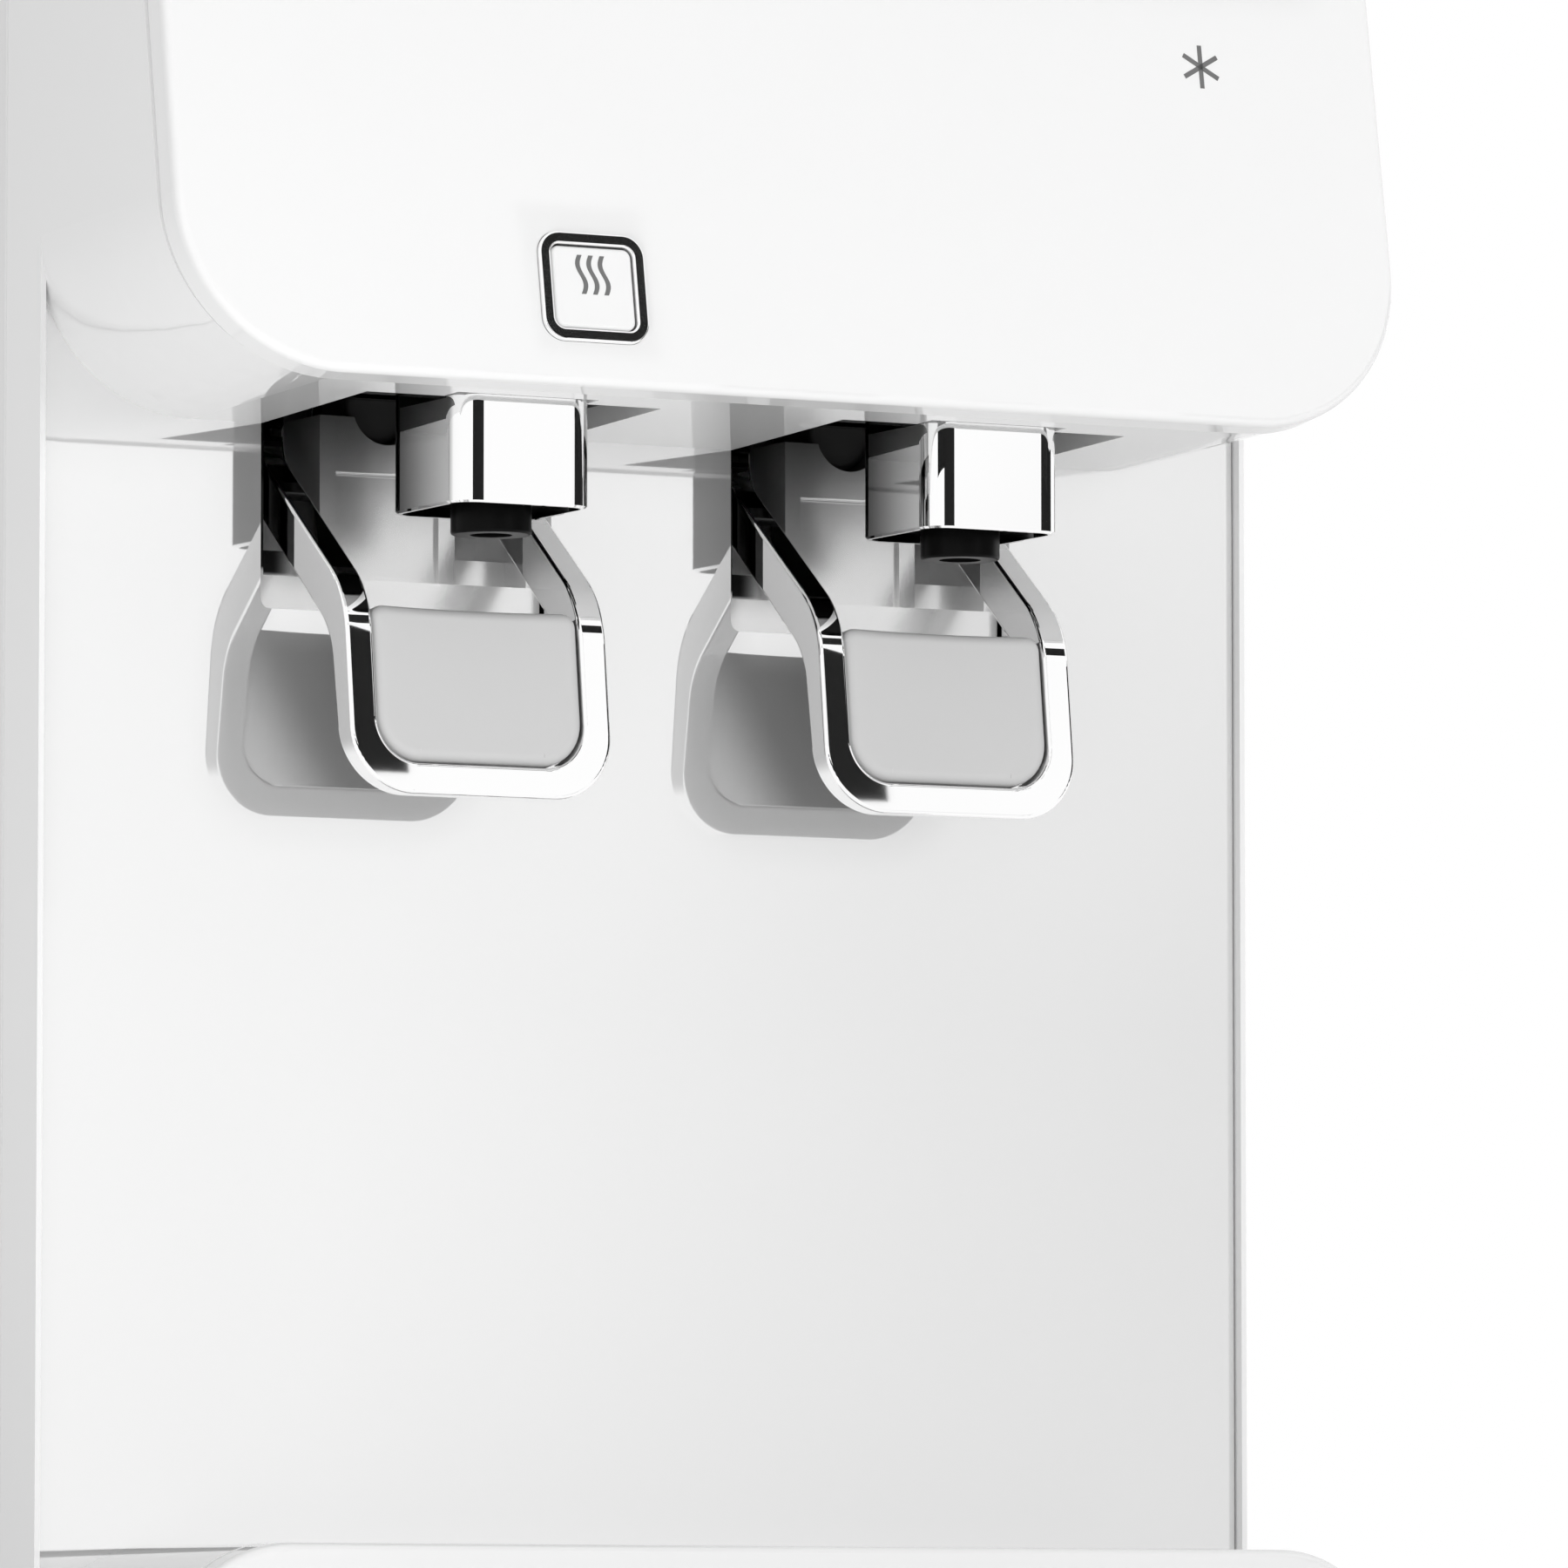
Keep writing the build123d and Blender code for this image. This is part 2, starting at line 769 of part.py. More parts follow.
def make_valve_body(x):
    """Valve block behind the bracket, with a bore for the plunger's stem and a spring chamber."""
    with BuildPart() as body:
        with BuildSketch(facing(valve_front_y + valve_depth, x, hood_z)):
            with Locations((0, valve_low + valve_height / 2)):
                Rectangle(valve_width, valve_height)
        extrude(amount=valve_depth)
        fillet(body.edges().filter_by(Axis.Y), valve_edge)
        with BuildSketch(facing(valve_front_y + valve_depth, x, hood_z)):
            with Locations((0, plunger_rise)):
                Circle(stem_radius + running_gap)
        extrude(amount=valve_depth, mode=Mode.SUBTRACT)
        with BuildSketch(facing(valve_front_y, x, hood_z)):
            with Locations((0, plunger_rise)):
                Circle(valve_chamber)
        extrude(amount=-valve_depth / 2, mode=Mode.SUBTRACT)
        with BuildSketch(facing(valve_front_y + valve_depth, x, hood_z)):
            with Locations((0, plunger_rise)):
                Circle(hose_radius + running_gap)
        extrude(amount=shell_wall, mode=Mode.SUBTRACT)
    return body.part


def make_plunger(x):
    """Black plunger: a round boot that the crossbar pushes, on a stem that slides in the valve."""
    front = wall_y + plunger_front
    with BuildPart() as plunger:
        with BuildSketch(facing(front, x, hood_z)):
            with Locations((0, plunger_rise)):
                Circle(boot_radius)
        extrude(amount=-boot_length)
        fillet(plunger.faces().sort_by(Axis.Y)[0].edges(), boot_round)
        with BuildSketch(facing(front + boot_length, x, hood_z)):
            with Locations((0, plunger_rise)):
                Circle(stem_radius)
        extrude(amount=-stem_length)
    return plunger.part


def make_valve_springs():
    """Return springs in the two valve chambers, at their pressed length."""
    room = valve_depth / 2 - (plunger_front + boot_length - bracket_depth)
    length = min(valve_depth / 2, room) - spring_spare
    with BuildPart() as springs:
        for x in dispensers.values():
            with BuildSketch(facing(valve_front_y + valve_depth / 2, x, hood_z)):
                with Locations((0, plunger_rise)):
                    Circle(valve_chamber - seat_gap)
                    Circle(valve_chamber - seat_gap - spring_wall, mode=Mode.SUBTRACT)
            extrude(amount=length)
    return springs.part


def make_spout_mount():
    """Black plate on the hood's floor that carries both spouts and closes the openings around them."""
    with BuildPart() as mount:
        with BuildSketch(Plane.XY.offset(mount_z)):
            with Locations((dispenser_shift, wall_y - (mount_back + mount_front) / 2)):
                Rectangle(dispenser_spacing + mount_width, mount_front - mount_back)
            for x in dispensers.values():
                with Locations((x, spout_y)):
                    Rectangle(spout_width + 2 * seat_gap, spout_depth + 2 * seat_gap, mode=Mode.SUBTRACT)
        extrude(amount=mount_thickness)
    return mount.part


def make_spout(x):
    """Chrome square spout with a flange on the mount, a pocket below and a water hole on top."""
    low = hood_z - spout_drop
    pocket_width = spout_width - 2 * spout_wall
    pocket_depth = spout_depth - 2 * spout_wall
    with BuildPart() as spout:
        with BuildSketch(Plane.XY.offset(low)):
            with Locations((x, spout_y)):
                RectangleRounded(spout_width, spout_depth, spout_corner)
        extrude(amount=spout_top - low)
        chamfer(spout.faces().sort_by(Axis.Z)[0].edges(), spout_edge)
        with BuildSketch(Plane.XY.offset(spout_top - spout_flange_height)):
            with Locations((x, spout_y)):
                Rectangle(spout_width + 2 * spout_flange, spout_depth + 2 * spout_flange)
        extrude(amount=spout_flange_height)
        with BuildSketch(Plane.XY.offset(low)):
            with Locations((x, spout_y)):
                RectangleRounded(pocket_width, pocket_depth, spout_corner - spout_wall)
        extrude(amount=spout_pocket, mode=Mode.SUBTRACT)
        with BuildSketch(Plane.XY.offset(low)):
            with Locations((x, spout_y)):
                Circle(nozzle_bore)
        extrude(amount=spout_top - low, mode=Mode.SUBTRACT)
    return spout.part


def make_nozzle(x):
    """Black nozzle: a plate held in the spout's pocket and a round outlet below it."""
    plate_low = hood_z - spout_drop + nozzle_recess
    end = hood_z - spout_drop - nozzle_drop
    with BuildPart() as nozzle:
        with BuildSketch(Plane.XY.offset(plate_low)):
            with Locations((x, spout_y)):
                RectangleRounded(
                    spout_width - 2 * (spout_wall + running_gap),
                    spout_depth - 2 * (spout_wall + running_gap),
                    spout_corner - spout_wall,
                )
        extrude(amount=nozzle_plate)
        with BuildSketch(Plane.XY.offset(end)):
            with Locations((x, spout_y)):
                Circle(nozzle_radius)
        extrude(amount=plate_low - end)
        fillet(nozzle.faces().sort_by(Axis.Z)[0].edges(), nozzle_edge)
        with BuildSketch(Plane.XY.offset(end)):
            with Locations((x, spout_y)):
                Circle(nozzle_bore)
        extrude(amount=plate_low + nozzle_plate - end, mode=Mode.SUBTRACT)
    return nozzle.part


# Base, drip tray and grille

def make_tray_housing():
    """Lower front body with a pocket, open above and in front, for the drip tray."""
    depth = tray_reach - tray_front_depth - seat_gap
    outer = outline(body_width, base_z, tray_top_z, tray_corner, -1)
    inner_width = body_width - 2 * shell_wall
    inner_high = tray_top_z - shell_wall
    inner = outline(inner_width, base_z - shell_wall, inner_high, tray_corner - shell_wall, -1)
    pocket_half = basin_width / 2 + seat_gap
    pocket_floor = basin_floor_z - seat_gap
    with BuildPart() as housing:
        with BuildSketch(facing(wall_y)):
            add(outer)
        extrude(amount=depth)
        with BuildSketch(facing(wall_y - shell_wall)):
            add(inner)
        extrude(amount=depth - 2 * shell_wall, mode=Mode.SUBTRACT)
        with BuildSketch(facing(wall_y)):
            with Locations((0, (pocket_floor - tray_wall + tray_top_z) / 2)):
                Rectangle(2 * (pocket_half + tray_wall), tray_top_z - pocket_floor + tray_wall)
        extrude(amount=depth)
        with BuildSketch(facing(wall_y - basin_back + seat_gap)):
            with Locations((0, (pocket_floor + tray_top_z) / 2)):
                Rectangle(2 * pocket_half, tray_top_z - pocket_floor)
        extrude(amount=depth, mode=Mode.SUBTRACT)
    return housing.part


def make_tray_front():
    """Front plate of the drip tray, hollowed from behind below the basin."""
    plate = outline(body_width - 2 * cover_inset, base_z, tray_top_z, tray_corner, -1)
    hollow = outline(
        body_width - 2 * (cover_inset + shell_wall),
        base_z + shell_wall,
        basin_floor_z - shell_wall,
        shell_wall,
        0,
    )
    with BuildPart() as front:
        with BuildSketch(facing(tray_back_y)):
            add(plate)
        extrude(amount=tray_front_depth)
        fillet(front.faces().sort_by(Axis.Y)[0].edges(), cover_edge)
        chamfer(front.faces().sort_by(Axis.Y)[-1].edges(), seam_chamfer)
        with BuildSketch(facing(tray_back_y)):
            add(hollow)
        extrude(amount=tray_front_depth - shell_wall, mode=Mode.SUBTRACT)
    return front.part


def make_drip_tray():
    """Basin of the drip tray, fixed behind its front plate and sliding out with it."""
    basin_y = (tray_back_y + wall_y - basin_back) / 2
    basin_depth = wall_y - basin_back - tray_back_y
    with BuildPart() as tray:
        with BuildSketch(Plane.XY.offset(basin_floor_z)):
            with Locations((0, basin_y)):
                Rectangle(basin_width, basin_depth)
        extrude(amount=basin_top_z - basin_floor_z)
        with BuildSketch(Plane.XY.offset(basin_floor_z + tray_wall)):
            with Locations((0, basin_y)):
                Rectangle(basin_width - 2 * tray_wall, basin_depth - 2 * tray_wall)
        extrude(amount=basin_top_z - basin_floor_z, mode=Mode.SUBTRACT)
    return tray.part


def make_drip_grille():
    """Slotted grille that lies on the basin's rim."""
    depth = wall_y - basin_back - tray_back_y - 2 * seat_gap
    grille_y = (tray_back_y + wall_y - basin_back) / 2
    count = int((basin_width - 2 * grille_pitch) // grille_pitch)
    with BuildPart() as grille:
        with BuildSketch(Plane.XY.offset(basin_top_z)):
            with Locations((0, grille_y)):
                Rectangle(basin_width - 2 * seat_gap, depth)
                with GridLocations(grille_pitch, 0, count, 1):
                    SlotOverall(grille_slot_length, grille_slot_width, rotation=90, mode=Mode.SUBTRACT)
        extrude(amount=grille_thickness)
        rim = grille.faces().sort_by(Axis.Z)[-1].outer_wire().edges()
        chamfer(rim, grille_edge)
    return grille.part


def make_chassis():
    """Steel base pan with a raised flange all round."""
    width = body_width - 2 * (rail_width + seat_gap)
    low = wall_back + seat_gap
    high = back_inner - seat_gap
    with BuildPart() as chassis:
        with BuildSketch(Plane.XY.offset(foot_height)):
            with Locations((0, (low + high) / 2)):
                Rectangle(width, high - low)
        extrude(amount=chassis_flange)
        with BuildSketch(Plane.XY.offset(pan_z)):
            with Locations((0, (low + high) / 2)):
                Rectangle(width - 2 * frame_sheet, high - low - 2 * frame_sheet)
        extrude(amount=chassis_flange, mode=Mode.SUBTRACT)
    return chassis.part


def make_feet():
    """Four rubber feet under the base pan."""
    front = wall_y + foot_inset_front - hood_overhang
    back = back_y - foot_inset_back
    with BuildPart() as feet:
        with BuildSketch():
            for side in (-1, 1):
                for y in (front + foot_inset_x, back):
                    with Locations((side * (half_width - foot_inset_x), y)):
                        Circle(foot_radius)
        extrude(amount=foot_height)
        chamfer(feet.faces().group_by(Axis.Z)[0].edges(), foot_edge)
    return feet.part


# Outer panels

def make_side_panel(side):
    """Flat side of the body with cooling slots beside the compressor."""
    depth = back_y - seam_y - seat_gap
    with BuildPart() as panel:
        with BuildSketch(Plane.XY.offset(base_z)):
            with Locations((side * (half_width - shell_wall / 2), seam_y + seat_gap + depth / 2)):
                Rectangle(shell_wall, depth)
        extrude(amount=top_z - base_z)
        outer_face = panel.faces().sort_by(Axis.X)[0 if side < 0 else -1]
        chamfer(outer_face.edges().filter_by(Axis.Z), seam_chamfer)
        with BuildSketch(Plane.YZ.offset(side * half_width)):
            with Locations((side_vent_y, side_vent_z)):
                with GridLocations(0, vent_pitch, 1, side_vent_rows):
                    SlotOverall(vent_length, vent_width)
        extrude(amount=-side * shell_wall, mode=Mode.SUBTRACT)
    return panel.part


def rear_openings(gap):
    """Outlines of the rear fittings, drawn with a gap around them in the sketch that is open."""
    with Locations((inlet_x, inlet_z)):
        Circle(inlet_radius + gap)
    with Locations((drain_x, drain_z)):
        Circle(drain_radius + drain_rim + gap)
    with Locations((socket_x, socket_z)):
        Rectangle(socket_width + 2 * gap, socket_height + 2 * gap)


def screw_places():
    """Places of the back panel's screws, seen from the front."""
    x = half_width - shell_wall - screw_inset
    heights = (base_z + 3 * screw_inset, (base_z + top_z) / 2, top_z - screw_inset)
    return [(side * x, z) for side in (-1, 1) for z in heights]


def make_back_panel():
    """Back of the body with cooling slots and openings for the rear fittings."""
    width = body_width - 2 * (shell_wall + seat_gap)
    with BuildPart() as panel:
        with BuildSketch(facing(back_y)):
            with Locations((0, (base_z + top_z) / 2)):
                Rectangle(width, top_z - base_z)
        extrude(amount=shell_wall)
        with BuildSketch(facing(back_y)):
            with Locations((0, vent_z)):
                with GridLocations(vent_column_pitch, vent_pitch, 2, vent_rows):
                    SlotOverall(vent_length, vent_width)
            rear_openings(seat_gap)
            for x in rocker_places().values():
                with Locations((x, switch_z)):
                    Rectangle(
                        rocker_width + 2 * (rocker_case_wall + 2 * seat_gap),
                        rocker_height + 2 * (rocker_case_wall + 2 * seat_gap),
                    )
            for place in screw_places():
                with Locations(place):
                    Circle(screw_shank + seat_gap)
        extrude(amount=shell_wall, mode=Mode.SUBTRACT)
    return panel.part


def make_screws():
    """Pan-head screws of the back panel."""
    with BuildPart() as screws:
        with BuildSketch(facing(back_y)):
            for place in screw_places():
                with Locations(place):
                    Circle(screw_radius)
        extrude(amount=-screw_head)
        fillet(screws.faces().group_by(Axis.Y)[-1].edges(), screw_head / 2)
        with BuildSketch(facing(back_y)):
            for place in screw_places():
                with Locations(place):
                    Circle(screw_shank)
        extrude(amount=screw_length)
    return screws.part


def make_top_cover():
    """Top of the body and hood, with a framed opening over the filters."""
    inner_front = front_y + shell_wall + (top_z + top_height - cover_low_z) * tan(tilt) + cover_depth
    inner_back = back_y - shell_wall
    frame_wall = shell_wall
    opening_x = lid_width + 2 * lid_gap
    opening_y = lid_depth + 2 * lid_gap
    seat_z = body_height - lid_thickness - seat_gap
    with BuildPart() as top:
        with BuildSketch(Plane.XY.offset(top_z)):
            with Locations((0, (front_y + back_y) / 2)):
                Rectangle(body_width, back_y - front_y)
        extrude(amount=top_height)
        split(bisect_by=cover_plane, keep=Keep.BOTTOM)
        fillet(top.faces().sort_by(Axis.Z)[-1].edges(), top_edge)
        with BuildSketch(Plane.XY.offset(top_z)):
            with Locations((0, (inner_front + inner_back) / 2)):
                Rectangle(body_width - 2 * shell_wall, inner_back - inner_front)
        extrude(amount=top_height - shell_wall, mode=Mode.SUBTRACT)
        with BuildSketch(Plane.XY.offset(top_z)):
            with Locations((0, lid_y)):
                Rectangle(opening_x + 2 * frame_wall, opening_y + 2 * frame_wall)
        extrude(amount=top_height)
        with BuildSketch(Plane.XY.offset(top_z)):
            with Locations((0, lid_y + lid_ledge / 2)):
                Rectangle(opening_x, opening_y - lid_ledge)
        extrude(amount=top_height, mode=Mode.SUBTRACT)
        with BuildSketch(Plane.XY.offset(seat_z)):
            with Locations((0, lid_y)):
                Rectangle(opening_x, opening_y)
        extrude(amount=top_height, mode=Mode.SUBTRACT)
        with BuildSketch(Plane.YZ):
            with Locations((lid_hinge_y, lid_hinge_z)):
                Circle(trunnion_radius + running_gap)
        extrude(amount=opening_x / 2 + trunnion_length + seat_gap, both=True, mode=Mode.SUBTRACT)
    return top.part


def make_filter_lid():
    """Lid over the filters: a plate with a finger notch in front and hinge trunnions at the back."""
    with BuildPart() as lid:
        with BuildSketch(Plane.XY.offset(body_height - lid_thickness)):
            with Locations((0, lid_y)):
                Rectangle(lid_width, lid_depth)
            with Locations((0, lid_y - lid_depth / 2)):
                SlotOverall(lid_notch_width, 2 * lid_notch_depth, mode=Mode.SUBTRACT)
        extrude(amount=lid_thickness)
        chamfer(lid.faces().sort_by(Axis.Z)[-1].edges(), seam_chamfer)
        with BuildSketch(Plane.YZ):
            with Locations((lid_hinge_y, lid_hinge_z)):
                Circle(trunnion_radius)
        extrude(amount=lid_width / 2 + lid_gap + trunnion_length, both=True)
    return lid.part


# Rear fittings

def make_water_inlet():
    """Push-fit inlet for a quarter-inch water tube, through the back panel."""
    with BuildPart() as inlet:
        with BuildSketch(facing(body_depth / 2, inlet_x, inlet_z)):
            Circle(inlet_radius)
        extrude(amount=back_reach + shell_wall + inlet_inside)
        with BuildSketch(facing(back_y + inlet_collar_depth, inlet_x, inlet_z)):
            Circle(inlet_collar)
        extrude(amount=inlet_collar_depth)
        chamfer(inlet.faces().sort_by(Axis.Y)[-1].edges(), seam_chamfer)
        with BuildSketch(facing(body_depth / 2, inlet_x, inlet_z)):
            Circle(inlet_bore)
        extrude(amount=inlet_bore_depth, mode=Mode.SUBTRACT)
    return inlet.part


def make_drain_plug():
    """Rubber plug of the drain, with a head to pull it by."""
    with BuildPart() as plug:
        with BuildSketch(facing(back_y, drain_x, drain_z)):
            Circle(drain_radius - running_gap)
        extrude(amount=drain_inside)
        with BuildSketch(facing(back_y + seat_gap, drain_x, drain_z)):
            Circle(drain_head)
        extrude(amount=-drain_head_depth)
        fillet(plug.faces().sort_by(Axis.Y)[-1].edges(), foot_edge)
        with BuildSketch(facing(back_y + seat_gap, drain_x, drain_z)):
            Circle(drain_radius - running_gap)
        extrude(amount=seat_gap)
    return plug.part


def make_drain_port():
    """Tube end in the back panel that the drain plug closes."""
    with BuildPart() as port:
        with BuildSketch(facing(back_y, drain_x, drain_z)):
            Circle(drain_radius + drain_rim)
            Circle(drain_radius, mode=Mode.SUBTRACT)
        extrude(amount=drain_inside + seat_gap)
        with BuildSketch(facing(back_inner, drain_x, drain_z)):
            Circle(drain_radius + 2 * drain_rim)
            Circle(drain_radius, mode=Mode.SUBTRACT)
        extrude(amount=drain_rim)
        with BuildSketch(facing(back_y - drain_inside - seat_gap, drain_x, drain_z)):
            Circle(drain_radius + drain_rim)
        extrude(amount=shell_wall)
    return port.part


def make_power_inlet():
    """Mains inlet with three flat pins in its pit; a flange sits outside the back panel."""
    with BuildPart() as socket:
        with BuildSketch(facing(back_y, socket_x, socket_z)):
            Rectangle(socket_width, socket_height)
        extrude(amount=socket_inside)
        with BuildSketch(facing(back_y + socket_flange_depth, socket_x, socket_z)):
            RectangleRounded(
                socket_width + 2 * socket_flange, socket_height + 2 * socket_flange, socket_flange
            )
        extrude(amount=socket_flange_depth)
        with BuildSketch(facing(back_y + socket_flange_depth, socket_x, socket_z)):
            RectangleRounded(socket_pit_width, socket_pit_height, socket_flange)
        extrude(amount=socket_pit_depth + socket_flange_depth, mode=Mode.SUBTRACT)
        with BuildSketch(facing(back_y - socket_pit_depth, socket_x, socket_z)):
            with GridLocations(pin_pitch, 0, 3, 1):
                Rectangle(pin_width, pin_height)
        extrude(amount=-socket_pit_depth)
    return socket.part


def rocker_places():
    """Sideways places of the two rear rocker switches."""
    return {"hot": switch_x - switch_pitch / 2, "cold": switch_x + switch_pitch / 2}


def make_switch_cases():
    """Cases of the rear rocker switches, with a rim outside the back panel and pivot holes inside."""
    wide = rocker_width + 2 * (seat_gap + rocker_case_wall)
    high = rocker_height + 2 * (seat_gap + rocker_case_wall)
    with BuildPart() as cases:
        for x in rocker_places().values():
            with BuildSketch(facing(back_y, x, switch_z)):
                Rectangle(wide, high)
            extrude(amount=rocker_case_depth)
            with BuildSketch(facing(back_y + rocker_rim, x, switch_z)):
                Rectangle(wide + 2 * rocker_rim, high + 2 * rocker_rim)
            extrude(amount=rocker_rim)
            with BuildSketch(facing(back_y + rocker_rim, x, switch_z)):
                Rectangle(rocker_width + 2 * seat_gap, rocker_height + 2 * seat_gap)
            extrude(amount=rocker_case_depth - rocker_case_wall + rocker_rim, mode=Mode.SUBTRACT)
            with BuildSketch(Plane.YZ.offset(x)):
                with Locations((back_y - rocker_axis_depth, switch_z)):
                    Circle(trunnion_radius + running_gap)
            extrude(amount=wide / 2 - running_gap, both=True, mode=Mode.SUBTRACT)
    return cases.part


def make_rocker(x):
    """Rocker of a rear switch: a shallow round-backed key on two trunnions."""
    key_front = back_y - rocker_axis_depth
    reach = rocker_height / 2 - 4 * seat_gap
    with BuildPart() as rocker:
        with BuildSketch(Plane.YZ.offset(x - rocker_width / 2)):
            with BuildLine():
                Polyline(
                    (back_y + rocker_rim / 2, switch_z + reach),
                    (key_front, switch_z + reach / 2),
                    (key_front - trunnion_radius * 2, switch_z),
                    (key_front, switch_z - reach / 2),
                    (back_y + rocker_rim / 2, switch_z - reach),
                )
                ThreePointArc(
                    (back_y + rocker_rim / 2, switch_z - reach),
                    (back_y - rocker_rim / 2, switch_z),
                    (back_y + rocker_rim / 2, switch_z + reach),
                )
            make_face()
        extrude(amount=rocker_width)
        with BuildSketch(Plane.YZ.offset(x)):
            with Locations((key_front, switch_z)):
                Circle(trunnion_radius)
        extrude(amount=rocker_width / 2 + seat_gap + rocker_case_wall / 2, both=True)
    return rocker.part


# Inside

def make_inner_frame():
    """Steel shelf on two side walls that carries the cold tank, the filters and the power board."""
    depth = frame_back - frame_front
    middle = (frame_front + frame_back) / 2
    with BuildPart() as frame:
        with BuildSketch(Plane.XY.offset(frame_low)):
            with Locations((0, middle)):
                Rectangle(2 * frame_half, depth)
                Rectangle(2 * (frame_half - frame_sheet), depth, mode=Mode.SUBTRACT)
        extrude(amount=shelf_z - frame_low)
        with BuildSketch(Plane.XY.offset(shelf_z - frame_sheet)):
            with Locations((0, middle)):
                Rectangle(2 * frame_half, depth)
        extrude(amount=frame_sheet)
        with BuildSketch(Plane.XY.offset(shelf_z - frame_sheet)):
            with Locations((hot_feed_x, hot_feed_y)):
                Circle(hose_radius + 2 * seat_gap)
        extrude(amount=frame_sheet, mode=Mode.SUBTRACT)
    return frame.part


def tank_shell(x, y, radius, low, high):
    """Closed thin-walled tank with rounded ends."""
    with BuildPart() as tank:
        with BuildSketch(Plane.XY.offset(low)):
            with Locations((x, y)):
                Circle(radius)
        extrude(amount=high - low)
        fillet(tank.edges(), tank_round)
        offset(amount=-tank_sheet, mode=Mode.SUBTRACT)
    return tank.part


def make_cold_tank():
    """Stainless cold tank on a foot ring, with a spigot for the hose to the valve."""
    shell = tank_shell(0, cold_y, cold_radius, cold_low, cold_high)
    with BuildPart() as tank:
        add(shell)
        with BuildSketch(Plane.XY.offset(shelf_z)):
            with Locations((0, cold_y)):
                Circle(cold_radius / 2)
                Circle(cold_radius / 2 - hot_foot_wall, mode=Mode.SUBTRACT)
        extrude(amount=cold_low + tank_sheet / 2 - shelf_z)
        with BuildSketch(facing(spigot_y(), dispensers["cold"], hood_z + plunger_rise)):
            Circle(hose_radius)
        extrude(amount=-spigot_length)
    return tank.part


def spigot_y():
    """Front end of the cold tank's spigot, clear of the tank's round wall."""
    nearest = dispensers["cold"] - hose_radius
    return cold_y - (cold_radius ** 2 - nearest ** 2) ** 0.5 - seat_gap


def make_cold_foam():
    """Foam insulation around the cold tank and its coil."""
    inner = cold_radius + 2 * coil_radius + seat_gap
    with BuildPart() as foam:
        with BuildSketch(Plane.XY.offset(shelf_z)):
            with Locations((0, cold_y)):
                Circle(foam_radius)
                Circle(inner, mode=Mode.SUBTRACT)
        extrude(amount=foam_high - shelf_z)
        with BuildSketch(facing(cold_y, dispensers["cold"], hood_z + plunger_rise)):
            Circle(hose_radius + 2 * seat_gap)
        extrude(amount=foam_radius, mode=Mode.SUBTRACT)
    return foam.part


def make_evaporator():
    """Evaporator winding around the cold tank: a sleeve with one round rib for each turn."""
    inner = cold_radius + seat_gap / 2
    outer = cold_radius + coil_radius
    height = coil_turns * coil_pitch
    with BuildPart() as coil:
        with BuildSketch(facing(cold_y)):
            with Locations(((inner + outer) / 2, coil_low + height / 2)):
                Rectangle(outer - inner, height)
            with Locations((outer, coil_low + height / 2)):
                with GridLocations(0, coil_pitch, 1, coil_turns):
                    Circle(coil_radius - seat_gap)
        revolve(axis=Axis((0, cold_y, 0), (0, 0, 1)))
    return coil.part


def make_hot_tank():
    """Stainless hot tank on a foot ring."""
    shell = tank_shell(hot_x, hot_y, hot_radius, hot_low, hot_high)
    with BuildPart() as tank:
        add(shell)
        with BuildSketch(Plane.XY.offset(pan_z)):
            with Locations((hot_x, hot_y)):
                Circle(hot_foot_radius)
                Circle(hot_foot_radius - hot_foot_wall, mode=Mode.SUBTRACT)
        extrude(amount=hot_low + tank_sheet / 2 - pan_z)
    return tank.part


def ring(x, y, inner, outer, low, height):
    """Plain upright ring."""
    with BuildPart() as band:
        with BuildSketch(Plane.XY.offset(low)):
            with Locations((x, y)):
                Circle(outer)
                Circle(inner, mode=Mode.SUBTRACT)
        extrude(amount=height)
    return band.part


def make_compressor():
    """Compressor can with a domed top on its mounting plate."""
    plate_z = pan_z + grommet_height
    with BuildPart() as can:
        with BuildSketch(Plane.XY.offset(plate_z)):
            with Locations((compressor_x, compressor_y)):
                Circle(compressor_radius)
        extrude(amount=compressor_height)
        fillet(can.faces().sort_by(Axis.Z)[-1].edges(), compressor_round)
        offset(amount=-compressor_wall, mode=Mode.SUBTRACT)
        with BuildSketch(Plane.XY.offset(plate_z)):
            with Locations((compressor_x, compressor_y)):
                Rectangle(compressor_plate_x, compressor_plate_y)
        extrude(amount=compressor_plate)
    return can.part


def make_grommets():
    """Rubber grommets between the compressor's plate and the base pan."""
    with BuildPart() as grommets:
        with BuildSketch(Plane.XY.offset(pan_z)):
            with Locations((compressor_x, compressor_y)):
                with GridLocations(
                    compressor_plate_x - 2 * grommet_inset, compressor_plate_y - 2 * grommet_inset, 2, 2
                ):
                    Circle(grommet_radius)
        extrude(amount=grommet_height)
    return grommets.part


